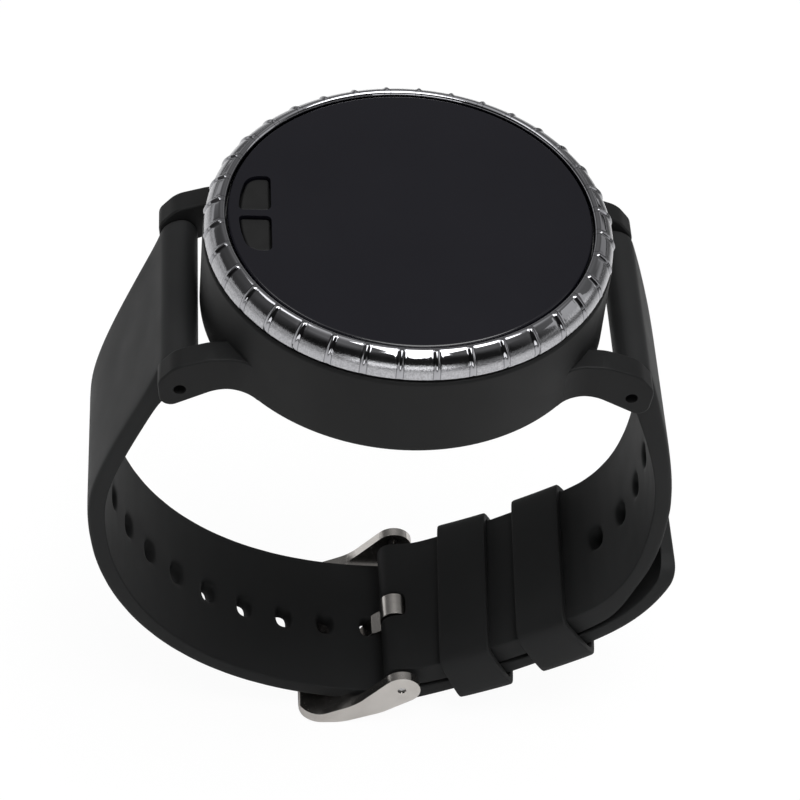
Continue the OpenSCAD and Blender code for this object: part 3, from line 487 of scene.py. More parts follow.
def chromeMaterial():
    # dark mirror on the crown, a satin lower band on the flank, and a fine dark line of painted shade
    # at each bead's foot
    material, tree, shader = newMaterial("darkChrome", {"Metallic": 1.0})
    place = objectPlace(tree)
    skin = effect(tree, mouldedGrain, place, *chrome["grain"])
    spot = axes(tree, place)
    turn = mathNode(tree, "ARCTAN2", spot["Y"], spot["X"])
    start = mathNode(tree, "SUBTRACT", turn, math.radians(bezel["firstBead"]))
    pitch = mathNode(tree, "FRACT", mathNode(tree, "MULTIPLY", start, bezel["beads"] / (2 * math.pi)))
    middle = mathNode(tree, "ABSOLUTE", mathNode(tree, "SUBTRACT", pitch, 0.5))
    beside = mathNode(tree, "SUBTRACT", 0.5, middle)
    offBead = spread(tree, beside, 0.0, 1.0, *chrome["offBead"])
    # painted shade: the base colour darkens in a thin line on both sides of each bead, in the crease at
    # its foot
    offFootShade = mathNode(tree, "ABSOLUTE", mathNode(tree, "SUBTRACT", beside, chrome["lineAt"]))
    line = spread(tree, offFootShade, chrome["lineDark"], 1.0, *chrome["lineWide"])
    low, top = (height * mm for height in chrome["band"])
    band = mathNode(tree, "MULTIPLY", spread(tree, spot["Z"], 1.0, 0.0, low, top), offBead)
    finish = spread(tree, skin.outputs["Mask"], *chrome["polish"])
    satin = mathNode(tree, "MULTIPLY", band, chrome["satin"])
    tree.links.new(mathNode(tree, "ADD", finish, satin), shader.inputs["Roughness"])
    speckle = ramp(tree, skin.outputs["Height"], chrome["speckle"])
    shade = mixColors(tree, band, chrome["crown"], speckle)
    tree.links.new(mixColors(tree, line, chrome["line"], shade), shader.inputs["Base Color"])
    grain = mathNode(tree, "MULTIPLY", skin.outputs["Height"], band)
    bump(tree, shader, grain, 0.8, chrome["grainDepth"])
    return material


def lensMaterial():
    # smoked gloss sheet with a trace of handling on it
    material, tree, shader = newMaterial("smokedLens", {"Specular IOR Level": 0.5})
    skin = effect(tree, mouldedGrain, objectPlace(tree), 700, 70)
    smoke = twoTone(tree, skin.outputs["Mask"], (0.0052, 0.005, 0.0082), (0.0062, 0.006, 0.0094))
    tree.links.new(smoke, shader.inputs["Base Color"])
    tree.links.new(spread(tree, skin.outputs["Mask"], 0.1, 0.16), shader.inputs["Roughness"])
    bump(tree, shader, skin.outputs["Height"], 0.05, 0.002)
    return material


looks["darkChrome"] = chromeMaterial()
looks["smokedLens"] = lensMaterial()
print("Materials ready:", len(bpy.data.materials))


def finished(obj, angle, look, body, slot, node):
    smoothShade(obj, angle)
    if slot in ("case", "lens", "button", "buckle"):
        # broad faces keep their own shading, and the small rounded ones blend into them
        withModifier(obj, "WEIGHTED_NORMAL", keep_sharp=True, weight=80)
    obj.data.materials.clear()
    obj.data.materials.append(looks[look])
    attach(obj, body)
    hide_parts(node)
    print("  made", obj.name, len(obj.data.polygons), "faces")


# Case: a drum whose wall sweeps out into four lugs

case = {
    "radius": 22.95, "low": 2.0, "top": 12.7, "rim": 0.45, "sweep": 4.5, "core": 21.0,
    "lugX": 25.15, "lugZ": 1.9, "lugIn": 11.1, "lugOut": 14.1, "lugEdge": 0.26, "hole": 0.7,
    "lugReach": (12, 30), "through": (-10, 30), "sweepSteps": 16,
}


def lugOutline():
    x, z, rim = case["lugX"], case["lugZ"], case["low"]
    corners = [(x - 11, rim + 5), (x - 3.2, z + 4.7), (x + 0.6, z + 3.4), (x + 2.5, z + 1),
               (x + 2.05, z - 3.3), (x - 4.2, rim), (x - 11, rim)]
    return roundedOutline(corners, [0, 5, 3.5, 1.8, 1.3, 5, 0], 10)


def lugPlan():
    # seen from above: straight inner side, outer side swept into the drum's wall
    wall, sweep, out = case["radius"] - 0.05, case["sweep"], case["lugOut"]
    centreX = math.sqrt((wall + sweep) ** 2 - (out + sweep) ** 2)
    last = math.atan2(-(out + sweep), -centreX) - math.radians(5)
    first = -math.pi / 2
    near, far = case["lugReach"]
    points = [(near, case["lugIn"]), (far, case["lugIn"]), (far, out)]
    for k in range(case["sweepSteps"] + 1):
        a = first + (last - first) * k / case["sweepSteps"]
        points.append((centreX + sweep * math.cos(a), out + sweep + sweep * math.sin(a)))
    return points + [(near, 15)]


def makeLug():
    lug = prism("lug", [(x, case["lugIn"] - 1, z) for x, z in lugOutline()], (0, 8, 0))
    combine(lug, prism("lugPlan", [(x, y, -4) for x, y in lugPlan()], (0, 0, 16)), "INTERSECT")
    return roundEdges(lug, case["lugEdge"], 4, 42)


def makeCase():
    shell = disc("caseShell", case["radius"], case["low"], case["top"], 192)
    chooseEdges(shell, lambda a, b: abs(a.z - b.z) < mm)
    bevelChosen(case["rim"], 5)
    for sx in (1, -1):
        for sy in (1, -1):
            lug = makeLug()
            moveVertices(lug, lambda co: Vector((co.x * sx, co.y * sy, co.z)))
            mergeAndTurnOut(lug)
            combine(shell, lug, "UNION")
    # the exact inside of the case joins the swept outside
    combine(shell, disc("core", case["core"], *case["through"], 128))
    inside = copyOfNode("case_body", "caseInside")
    combine(inside, disc("core", case["core"] + 0.05, *case["through"], 128), "INTERSECT")
    combine(shell, inside, "UNION")
    for sx in (-1, 1):
        combine(shell, rodAlongY("hole", sx * case["lugX"], case["lugZ"], case["hole"], -16, 16))
    mergeAndTurnOut(shell, 0.002)
    finished(shell, 34, "caseSkin", "case", "case", "case_body")


makeCase()


# Bezel: a spun ring with raised beads across it

def bezelProfile():
    bore, low, top = bezel["bore"], bezel["low"], bezel["top"]
    flank, crown, swell = bezel["flank"], bezel["crown"], bezel["swell"]
    foot = [(-0.3, 0), (-0.14, 0.04), (-0.04, 0.14), (0, 0.28)]
    start, end = Vector((bore + flank, low + 0.4)), Vector((bore + crown, top - 0.22))
    across = Vector((end.y - start.y, start.x - end.x)).normalized()
    dome = [start.lerp(end, k / 14) + across * swell * 4 * k / 14 * (1 - k / 14) for k in range(15)]
    edge = [(0.8, -0.13), (0.68, -0.06), (0.58, -0.015), (0.5, 0), (0.42, 0), (0.32, -0.02),
            (0.23, -0.06), (0.15, -0.12), (0.08, -0.21), (0.03, -0.31), (0.01, -0.41), (0, -0.5)]
    deep = bore + bezel["grooveDepth"]
    g0, g1 = bezel["groove"]
    outside = [(bore + flank + x, low + z) for x, z in foot] + dome
    inside = [(bore, g1), (deep, g1), (deep, g0), (bore, g0), (bore, low)]
    return outside + [(bore + x, top + z) for x, z in edge] + inside


def makeBezel():
    offsets = [bezel["seam"]] + [-c for c in bezel["columns"]] + [0] + bezel["columns"][::-1]
    perBead = len(offsets)
    steps = perBead * bezel["beads"]
    ring = spunRing("bezelRing", bezelProfile(), steps, bezel["merge"])
    top, low, bore = bezel["top"], bezel["low"], bezel["bore"]

    def beads(co):
        radius = math.hypot(co.x, co.y) / mm
        height = co.z / mm
        turn = round(math.atan2(co.y, co.x) / (2 * math.pi) * steps) % steps
        bead, column = divmod(turn, perBead)
        offset = offsets[column]
        angle = math.radians(bezel["firstBead"] + bead * 360 / bezel["beads"]) + offset / bezel["beadR"]
        side, over, inwards = abs(offset), height - low - bezel["beadRise"][0], radius - bore
        lift = 0.0
        if inwards > 0.2 and over > 0:
            if side < bezel["beadHalf"]:
                lift = bezel["beadHeight"] * math.cos(math.pi / 2 * side / bezel["beadHalf"]) ** 1.2
            else:
                beyond = abs(side - bezel["valleyAt"]) / bezel["valleyHalf"]
                lift = -bezel["valley"] * max(0, 1 - beyond)
            fadeFrom, fade = bezel["beadFade"]
            lift *= min(1, over / bezel["beadRise"][1]) * max(0, min(1, (inwards - fadeFrom) / fade))
        # beads stand out along the dome's own slope
        lean = min(1, max(0, (height - low - 0.4) / (top - low - 0.5)))
        tilt = math.radians(bezel["tilt"][0] + bezel["tilt"][1] * lean)
        radius += lift * math.cos(tilt)
        height = min(bezel["highest"], height + lift * math.sin(tilt))
        return Vector((radius * math.cos(angle), radius * math.sin(angle), height)) * mm

    moveVertices(ring, beads)
    mergeAndTurnOut(ring, bezel["merge"])
    finished(ring, 35, "darkChrome", "bezel", "bezel_chrome", "rotary_bezel")


makeBezel()


# Lens with two openings, and the buttons in them

lens = {
    "radius": 20.3, "low": 14.55, "top": 15.65, "edge": 0.32, "lip": 0.3,
    "reach": 18.9, "inner": -15.6, "web": 0.65, "length": 5.2, "corner": 0.7, "farCorner": 1.9,
    "gap": 0.17, "flange": 0.25, "flangeTall": 0.85, "recess": 0.3, "buttonEdge": 0.28,
    "rimShares": (0, 1 / 6, 1 / 3, 0.5, 1),
}


def buttonOutline(side, margin):
    y0, y1 = lens["web"] - margin, lens["web"] + lens["length"] + margin
    out, inner = lens["reach"] + margin, lens["inner"] + margin
    a0, a1 = math.asin(y0 / out), math.asin(y1 / out)
    turns = [a0 + (a1 - a0) * share for share in lens["rimShares"]]
    rim = [(-out * math.cos(a), out * math.sin(a)) for a in turns]
    corner = lens["corner"]
    radii = [corner * 0.8] + [0] * 3 + [lens["farCorner"], corner, corner]
    return [(p.x, side * p.y) for p in roundedOutline(rim + [(inner, y1), (inner, y0)], radii)]


def makeLens():
    sheet = disc("lensSheet", lens["radius"], lens["low"], lens["top"], 160)
    top = (lens["top"] - 0.05) * mm
    chooseEdges(sheet, lambda a, b: a.z > top and b.z > top)
    bevelChosen(lens["edge"], 6)
    for side in (-1, 1):
        points = [(x, y, lens["low"] - 1) for x, y in buttonOutline(side, lens["gap"])]
        combine(sheet, prism("opening", points, (0, 0, 4)))
    level, reach = (lens["top"] - 0.01) * mm, (lens["reach"] + 0.5) * mm
    inner, longest = (lens["inner"] + 0.6) * mm, (lens["length"] + 0.3) * mm

    def onOpening(a, b):
        if (a - b).length >= longest:
            return False
        return all(p.z > level and p.xy.length < reach and p.x < inner for p in (a, b))

    chooseEdges(sheet, onOpening)
    bevelChosen(lens["lip"], 5, clamp_overlap=True)
    finished(sheet, 40, "smokedLens", "case", "lens", "lens")


def makeButton(name, node, side):
    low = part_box(node)[0][2] / mm
    top = low + lens["flangeTall"]
    points = [(x, y, low) for x, y in buttonOutline(side, lens["flange"])]
    button = prism(name, points, (0, 0, lens["flangeTall"]))
    chooseFaces(button, lambda centre: centre.z > (top - 0.01) * mm)
    bpy.ops.mesh.inset(thickness=lens["flange"] * mm)
    pull((0, 0, (lens["top"] - lens["recess"] - top) * mm))
    bpy.ops.mesh.region_to_loop()
    bevelChosen(lens["buttonEdge"], 4)
    finished(button, 40, "buttonSkin", node, "button", node)


makeLens()
makeButton("buttonUpper", "upper_button", 1)
makeButton("buttonLower", "lower_button", -1)


# Strap: two silicone bands on one loop, each drawn flat in rows and columns and laid on its curve

loop = {
    "mid": (17.7, -51.69), "lean": -60.6, "radius": 95, "half": 7.6,
    "leftSlant": 15.2, "rightSlant": 19.6, "leftSide": (-35.3, -22.7), "rightSide": (31.2, -21.5),
    "low": (0.6, -57.6), "lowHeading": 88, "tailRadius": 20, "tailTurn": 43,
    "longT": 2.1, "shortT": 3.2, "sideT": 2.1, "layerGap": 0.5, "width": 20.6, "endWidth": 22.0,
    "holeL": 2.2, "holePitch": 5.7, "toLug": 8, "toTail": 3, "tangHoleX": 0.1,
    "shortHoles": 4, "shortFirst": 26, "shortPitch": 5.35, "pinTurn": -8.1, "pinR": 90.1,
    "bossR": 1.85, "capShift": 0.35, "fill": 0.3,
    "longEndR": 2.2, "shortEndR": 2.03, "shortEndT": 1.067,
    "tangY": 0.25, "slotHalf": 1.78, "bore": 0.85, "rowGap": 3.2, "seat": 1.2,
    "leftOff": 2.3, "rightOff": 0.5, "taper": (-5, 15), "holeRim": 1.8,
    "tailCorner": 3, "edgeDrop": (0.26, 0.07), "mostDrop": 0.32, "innerStep": (0.35, 0.28),
    # how far from the tail's end its face drops, and by how much
    "tailDrop": [(0.1, 0.6), (0.5, 0.18)],
    "easeEnd": 6, "easeStack": 8, "easeLug": 20, "easeInner": 3.5,
    "columns": [-10.3, -9.95, -9.1, -6, -2.8, -1.9, 0, 1.9, 2.8, 6, 9.1, 9.95, 10.3],
    # a hole's half length and half width, and its share outside, in the wall and on the wrist side
    "holeCorner": (0.98, 1.5), "holeSide": (1.28, 1.72),
    "throat": (0.46, 0.82, 1.06), "plainThroat": 0.84,
}


def heading(degrees):
    return Vector((math.cos(math.radians(degrees)), math.sin(math.radians(degrees))))


stackCentre = Vector(loop["mid"]) - loop["radius"] * heading(loop["lean"])
shortInner = loop["radius"] - loop["longT"] - loop["layerGap"] - loop["shortT"]
arcStart, arcEnd = loop["lean"] - loop["half"], loop["lean"] + loop["half"]
pinAngle = loop["lean"] + loop["pinTurn"]
pinSpot = stackCentre + loop["pinR"] * heading(pinAngle)


def curvePoints(p0, d0, p1, d1, k0, k1, count):
    p0, d0, p1, d1 = Vector(p0), Vector(d0), Vector(p1), Vector(d1)
    chord = (p1 - p0).length
    c0, c1 = p0 + d0 * k0 * chord, p1 - d1 * k1 * chord
    points = []
    for i in range(count + 1):
        t, s = i / count, 1 - i / count
        points.append((s ** 3 * p0 + 3 * s * s * t * c0 + 3 * s * t * t * c1 + t ** 3 * p1,
                       (s * s * (c0 - p0) + 2 * s * t * (c1 - c0) + t * t * (p1 - c1)).normalized()))
    return points


def arcPoints(centre, radius, a0, a1, count):
    points = []
    for i in range(count + 1):
        out = heading(a0 + (a1 - a0) * i / count)
        points.append((centre + radius * out, Vector((-out.y, out.x))))
    return points


class Route:
    # points and headings along a curve in the XZ plane, looked up by length
    def __init__(self, *runs):
        self.points = list(runs[0])
        for run in runs[1:]:
            self.points += run[1:]
        self.lengths = [0.0]
        for before, after in zip(self.points, self.points[1:]):
            self.lengths.append(self.lengths[-1] + (after[0] - before[0]).length)
        self.total = self.lengths[-1]

    def at(self, s):
        if s <= 0:
            point, way = self.points[0]
            return point + way * s, way
        if s >= self.total:
            point, way = self.points[-1]
            return point + way * (s - self.total), way
        i = int(np.searchsorted(self.lengths, s)) - 1
        share = (s - self.lengths[i]) / (self.lengths[i + 1] - self.lengths[i])
        (p0, d0), (p1, d1) = self.points[i], self.points[i + 1]
        return p0.lerp(p1, share), d0.lerp(d1, share).normalized()

    def spot(self, s, y, t):
        point, way = self.at(s)
        out = Vector((way.y, -way.x))
        place = point + out * t
        return Vector((place.x, y, place.y)) * mm


lugSpot = Vector((case["lugX"], case["lugZ"]))
leftEnd = Vector((-case["lugX"], case["lugZ"])) + loop["leftOff"] * heading(180 - loop["leftSlant"])
rightEnd = lugSpot - loop["rightOff"] * heading(loop["rightSlant"])
lowWay = heading(loop["lowHeading"] - 90)
longRoute = Route(
    curvePoints(leftEnd, heading(270 - loop["leftSlant"]), loop["leftSide"], (0, -1), 0.216, 0.25, 60),
    curvePoints(loop["leftSide"], (0, -1), loop["low"], lowWay, 0.39, 0.44, 120),
    curvePoints(loop["low"], lowWay, stackCentre + loop["radius"] * heading(arcStart),
                heading(arcStart + 90), 0.35, 0.35, 30),
    arcPoints(stackCentre, loop["radius"], arcStart, arcEnd, 60),
    arcPoints(stackCentre + (loop["radius"] - loop["tailRadius"]) * heading(arcEnd), loop["tailRadius"],
              arcEnd, arcEnd + loop["tailTurn"], 60))
shortRoute = Route(
    arcPoints(stackCentre, shortInner, pinAngle + loop["seat"], arcEnd, 60),
    curvePoints(stackCentre + shortInner * heading(arcEnd), heading(arcEnd + 90),
                loop["rightSide"], (0, 1), 0.36, 0.36, 60),
    curvePoints(loop["rightSide"], (0, 1), rightEnd, heading(loop["rightSlant"] + 90), 0.3, 0.36, 60))


def holeRows(holes):
    rim, half = loop["holeRim"], loop["holeL"] / 2
    return [s + k for s in holes for k in (-rim, -half, 0, half, rim)]


def fillRows(rows):
    filled = [rows[0]]
    for s in rows[1:]:
        first = filled[-1]
        pieces = max(1, math.ceil((s - first) / loop["rowGap"] - 0.2))
        filled += [first + (s - first) * k / pieces for k in range(1, pieces + 1)]
    return filled


def edgeWidth(route, s):
    height = route.at(s)[0].y - case["lugZ"]
    share = max(0.0, min(1.0, (loop["taper"][0] - height) / loop["taper"][1]))
    return (loop["endWidth"] + (loop["width"] - loop["endWidth"]) * share) / 2


def layBand(name, route, rows, faces, holes, plainHole=-99, slotEnd=None, tail=False):
    # rows: lengths along the route; faces(s): outer and inner height off the route
    columns = loop["columns"]
    startClean()
    long, wide = len(rows) - 1, len(columns) - 1
    bpy.ops.mesh.primitive_grid_add(x_subdivisions=long, y_subdivisions=wide, size=2)
    band = nameIt(name)

    def toCells(co):
        return Vector((round((co.x + 1) / 2 * long), round((co.y + 1) / 2 * wide), 0))

    moveVertices(band, toCells)

    def isOpen(centre):
        i, j = int(centre.x), int(centre.y)
        if j not in (5, 6):
            return False
        s = (rows[i] + rows[i + 1]) / 2
        if slotEnd is not None and s < slotEnd:
            return True
        return any(abs(s - hole) < loop["holeL"] / 2 for hole in holes)

    chooseFaces(band, isOpen)
    bpy.ops.mesh.delete(type="FACE")
    bpy.ops.mesh.select_all(action="SELECT")
    pull((0, 0, -1))
    pull((0, 0, -1))
    editDone()

    def lay(co):
        i, j, layer = round(co.x), round(co.y), round(-co.z)
        s, y = rows[i], columns[j]
        outer, inner = faces(s)
        thick = outer - inner
        edge = edgeWidth(route, s)
        endDrop = 0.0
        if tail:
            past, corner = route.total - s, loop["tailCorner"]
            if past < corner:
                edge -= corner - math.sqrt(max(0.0, corner ** 2 - (corner - past) ** 2))
            endDrop = next((fall for reach, fall in loop["tailDrop"] if past < reach), 0.0)
        if abs(y) > 9:
            y = math.copysign(edge - (columns[-1] - abs(y)), y)
        elif slotEnd is not None and s < loop["easeEnd"] and abs(y) < 3:
            # the columns beside the middle follow the slot for the tang near the pin
            half = 0 if abs(y) < 0.1 else loop["slotHalf"] + (0.6 if abs(y) > 2 else 0)
            y += (loop["tangY"] + math.copysign(half, y) - y) * ease(s / loop["easeEnd"])
        for hole in holes:
            if abs(s - hole) < loop["holeL"] / 2 + 0.01 and abs(y) < 1.91:
                # wide on the wrist side, a narrower throat outside, except where the tang passes
                throat = loop["plainThroat"] if abs(hole - plainHole) < 0.01 else loop["throat"][layer]
                atRow, atColumn = abs(s - hole) > 0.01, abs(y) > 0.01
                reach = loop["holeCorner"] if atRow and atColumn else loop["holeSide"]
                s = hole + (math.copysign(reach[0] * throat, s - hole) if atRow else 0)
                y = math.copysign(reach[1] * throat, y) if atColumn else 0.0
        drop = dict(enumerate(loop["edgeDrop"])).get(min(j, wide - j), 0.0)
        drop = min(math.hypot(drop, endDrop), loop["mostDrop"] * thick)
        if layer == 0:
            t = outer - drop
        elif layer == 1:
            most, share = loop["innerStep"]
            t = inner + min(most, share * thick)
        else:
            t = inner
        return route.spot(s, y, t)

    moveVertices(band, lay)
    mergeAndTurnOut(band)
    soften(band)
    return band


def makeLongStrap():
    endR = loop["longEndR"]
    # the hole that holds the tang is found from its place beside the pin
    spots = [(s, longRoute.at(s)[0]) for s in np.linspace(0, longRoute.total, 4000)]
    tangS = max(s for s, spot in spots if spot.x < loop["tangHoleX"] and spot.y < -20)
    holes = [tangS + i * loop["holePitch"] for i in range(-loop["toLug"], loop["toTail"] + 1)]

    def faces(s):
        if s < 0:
            swing = math.sqrt(max(0.0, 1 - (s / endR) ** 2)) * endR
            return -endR + swing, -endR - swing
        return 0.0, -(loop["longT"] + (2 * endR - loop["longT"]) * ease(s / loop["easeEnd"]))

    total = longRoute.total
    rows = [-endR * math.sin(math.radians(a)) for a in (82, 60, 35, 14)] + [0, 1.4, 3, 4.6, 6.5]
    rows = fillRows(rows + holeRows(holes) + [total - 3, total - 2, total - 1.2, total - 0.4, total])
    band = layBand("strapLong", longRoute, rows, faces, holes, plainHole=tangS, tail=True)
    combine(band, rodAlongY("bore", -case["lugX"], case["lugZ"], loop["bore"], -13, 13))
    finished(band, 45, "silicone", "case", "strap", "long_strap")


def makeShortStrap():
    start, way = shortRoute.at(0)
    out = Vector((way.y, -way.x))
    pinS, pinT = (pinSpot - start).dot(way), (pinSpot - start).dot(out)
    total = shortRoute.total
    arcLength = math.radians(arcEnd - pinAngle - loop["seat"]) * shortInner
    endR, endT, boss = loop["shortEndR"], loop["shortEndT"], loop["bossR"]
    thick = loop["shortT"] + loop["fill"]
    capS = pinS - loop["capShift"]

    def faces(s):
        if s < capS:
            swing = boss * math.sqrt(max(0.0, 1 - ((s - capS) / boss) ** 2))
            return pinT + swing, pinT - swing
        if s > total:
            swing = endR * math.sqrt(max(0.0, 1 - ((s - total) / endR) ** 2))
            return endT + swing, endT - swing
        outer = loop["sideT"] + (thick - loop["sideT"]) * ease((s - arcLength) / loop["easeStack"])
        outer += (endT + endR - loop["sideT"]) * ease((total - s) / loop["easeLug"])
        inner = (endT - endR) * ease((total - s) / loop["easeInner"])
        share = ease((s - capS) / (1.0 - capS))
        return outer + (pinT + boss - outer) * share, inner + (pinT - boss - inner) * share

    holes = [loop["shortFirst"] + i * loop["shortPitch"] for i in range(loop["shortHoles"])]
    slotEnd = pinS + 1.4
    rows = [capS - boss * math.sin(math.radians(a)) for a in (80, 55, 28)]
    rows += [capS, pinS + 0.5, slotEnd, slotEnd + 0.5, 1.4, 3.5, 6]
    rows += holeRows(holes) + [total - 12, total - 8, total - 5, total - 3, total - 1.5, total]
    rows = fillRows(rows + [total + endR * math.sin(math.radians(a)) for a in (14, 35, 60, 82)])
    band = layBand("strapShort", shortRoute, rows, faces, holes, slotEnd=slotEnd)
    combine(band, rodAlongY("bore", case["lugX"], case["lugZ"], loop["bore"], -13, 13))
    combine(band, rodAlongY("bore", pinSpot.x, pinSpot.y, loop["bore"], -13, 13))
    finished(band, 45, "silicone", "case", "strap", "short_strap")


makeLongStrap()
makeShortStrap()


# Keepers: two loops round both bands, a little askew

keeper = {"length": 7.0, "wall": 1.0, "gap": 0.22, "sideGap": 0.35, "corner": 0.75, "skew": 2.5,
          "turns": (-2.1, 4.6), "edge": 0.2}


def makeKeeper(name, node, turn):
    yOut = loop["width"] / 2 + keeper["sideGap"] + keeper["wall"]
    rIn = shortInner - keeper["gap"] - keeper["wall"]
    rOut = loop["radius"] + keeper["gap"] + keeper["wall"]
    c = keeper["corner"]
    loopPoints = []
    for sy, sr in ((-1, -1), (-1, 1), (1, 1), (1, -1)):
        y, r = sy * yOut, rOut if sr > 0 else rIn
        pair = [(y, r - sr * c), (y - sy * c, r)]
        if sy * sr > 0:
            pair.reverse()
        loopPoints += pair
        if sy * sr < 0:
            loopPoints += [(y * k, r) for k in (0.6, 0.2, -0.2, -0.6)]
    half = keeper["length"] / 2
    band = outline(name, [(-half, y, r) for y, r in loopPoints], "NOTHING")
    bpy.ops.object.mode_set(mode="EDIT")
    bpy.ops.mesh.select_mode(type="VERT")
    bpy.ops.mesh.select_all(action="SELECT")
    for _ in range(4):
        pull((half / 2 * mm, 0, 0))
    bpy.ops.mesh.select_all(action="SELECT")
    turnOut()
    withModifier(band, "SOLIDIFY", thickness=keeper["wall"] * mm, offset=-1, use_even_offset=True)
    roundEdges(band, keeper["edge"], 2, 60)
    soften(band)
    skew = Matrix.Rotation(math.radians(keeper["skew"]), 3, "X")
    lean = Matrix.Rotation(-math.radians(loop["lean"] + turn), 3, "Y")

    def onArc(co):
        a = co.x / mm / loop["radius"]
        r = co.z / mm
        point = Vector((r * math.cos(a), co.y / mm, r * math.sin(a)))
        point = lean @ (skew @ point)
        return (point + Vector((stackCentre.x, 0, stackCentre.y))) * mm

    moveVertices(band, onArc)
    mergeAndTurnOut(band)
    finished(band, 50, "silicone", node, "strap", node)


makeKeeper("keeperFirst", "keeper_1", keeper["turns"][0])
makeKeeper("keeperSecond", "keeper_2", keeper["turns"][1])


# Buckle: two arms with round ends, drawn out into a thin bar

buckle = {
    "gap": 22.4, "arm": 1.2, "endR": 2.3, "pinHole": 0.53, "front": -12.7, "bar": 6.3, "corner": 3.2,
    "windowCorner": 1.4, "edge": 0.3, "notch": 3.7, "tangEdge": 0.2, "tangWidth": 3.2, "tangNeck": 2.4,
    "tangThick": 0.8, "ringOut": 1.78, "ringShift": 0.44, "ringBore": 0.8,
    # from the side, measured from the pin: the arm's outline, the groove for the tang,
    # and the tang's middle line
    "sweep": [(-1.9, 1.35), (-5.5, -2.95), (-9.5, -4.9), (-12.6, -5.25), (-12.3, -6.55), (-7, -6.35),
              (-2.2, -4.35)],
    "sweepRadii": [2, 7, 3, 0.5, 0.6, 6, 5],
    "groove": [(-4.2, -5.04), (-13.2, -5.63), (-13.2, -7.5), (-4.2, -7.5)],
    "root": (-1.0, -1.4), "knee": (-2.95, -3.0), "foot": (-4.05, -5.5), "tip": (-12.2, -6.03),
}


def atPin(points, y):
    return [(pinSpot.x + x, y, pinSpot.y + z) for x, z in points]


def makeBuckle():
    inner = buckle["gap"] / 2
    outer = inner + buckle["arm"]
    end = [buckle["endR"] * heading(a) for a in range(-62, 131, 12)]
    side = roundedOutline(end + buckle["sweep"], [0] * len(end) + buckle["sweepRadii"], 8)
    body = prism("buckleFrame", atPin(side, -outer - 1), (0, 2 * outer + 2, 0))

    def plate(name, x0, x1, half, corner, steps, low, tall):
        corners = [(x0, -half), (x1, -half), (x1, half), (x0, half)]
        points = roundedOutline(corners, [corner, 0, 0, corner], steps)
        return prism(name, [(x, y, low) for x, y in points], (0, 0, tall))

    x0, x1, low = pinSpot.x + buckle["front"], pinSpot.x + 4, pinSpot.y - 12
    plan = plate("plan", x0, x1, outer, buckle["corner"], 10, low, 18)
    window = plate("window", x0 + buckle["bar"], x1 + 1, inner, buckle["windowCorner"], 8, low - 1, 20)
    combine(plan, window)
    combine(body, plan, "INTERSECT")
    combine(body, rodAlongY("hole", pinSpot.x, pinSpot.y, buckle["pinHole"], -outer - 1, outer + 1, 32))
    # the tang lies in a groove across the bar's outer face
    half = buckle["notch"] / 2
    combine(body, prism("groove", atPin(buckle["groove"], loop["tangY"] - half), (0, 2 * half, 0)))
    roundEdges(body, buckle["edge"], 4, 38, use_clamp_overlap=True)
    mergeAndTurnOut(body)
    finished(body, 38, "buckleSteel", "buckle_frame", "buckle", "buckle_frame")


def makeTang():
    h, y = buckle["tangThick"] / 2, loop["tangY"]
    root, knee, foot, tip = (buckle[key] for key in ("root", "knee", "foot", "tip"))
    path = [(root[0], root[1] + h), (knee[0] - 0.2, knee[1] + h), (foot[0] - h - 0.1, foot[1] + h),
            (tip[0], tip[1] + h), (tip[0], tip[1] - h), (foot[0] + h, foot[1] - h),
            (knee[0] + h + 0.15, knee[1] - h), (root[0], root[1] - h)]
    side = roundedOutline(path, [0, 0.8, 0.5, 0.35, 0.35, 1.1, 0.3, 0], 6)
    tang = prism("buckleTang", atPin(side, -4), (0, 8, 0))
    ringX = pinSpot.x - buckle["ringShift"]
    combine(tang, rodAlongY("ring", ringX, pinSpot.y, buckle["ringOut"], -4, 4, 64), "UNION")
    wide, neck = buckle["tangWidth"] / 2, buckle["tangNeck"] / 2
    right = [(neck, -9), (neck, -3.2), (wide, -2.2), (wide, 3)]
    front = [(-u, v) for u, v in right[::-1]] + right
    sheet = prism("front", [(pinSpot.x - 16, y + u, pinSpot.y + v) for u, v in front], (20, 0, 0))
    combine(tang, sheet, "INTERSECT")
    combine(tang, rodAlongY("bore", pinSpot.x, pinSpot.y, buckle["ringBore"], -5, 5, 48))
    roundEdges(tang, buckle["tangEdge"], 3, 42, use_clamp_overlap=True)
    mergeAndTurnOut(tang)
    finished(tang, 38, "buckleSteel", "buckle_tang", "buckle", "buckle_tang")


makeBuckle()
makeTang()


# Finishes of the pieces whose CAD shape stays

finishes = {
    "backSkin": ["case_back"], "sealRubber": ["back_seal"], "gold": ["charge_contacts"],
    "displayGlass": ["display_module"], "chipBody": ["board_chips"], "boardMask": ["main_board"],
    "cellFoil": ["battery"], "weightMetal": ["eccentric_weight"],
    "tape": ["lens_adhesive", "battery_pad"], "plungerSkin": ["upper_plunger", "lower_plunger"],
    "nickel": ["back_screws", "board_screws", "bezel_magnets", "click_ball"],
    "sheetSteel": ["chassis_plate", "switch_bodies", "motor_base", "motor_cover"],
    "barSteel": ["bezel_snap_ring", "click_spring", "motor_shaft"],
}
for bar in ("long", "short", "buckle"):
    finishes["barSteel"] += [bar + end for end in ("_bar", "_bar_spring", "_tip_front", "_tip_back")]
for look, names in finishes.items():
    for name in names:
        for place in nodes[name].material_slots:
            place.material = looks[look]
print("Finishes set on", sum(len(names) for names in finishes.values()), "nodes")


# Floor, world and lamps

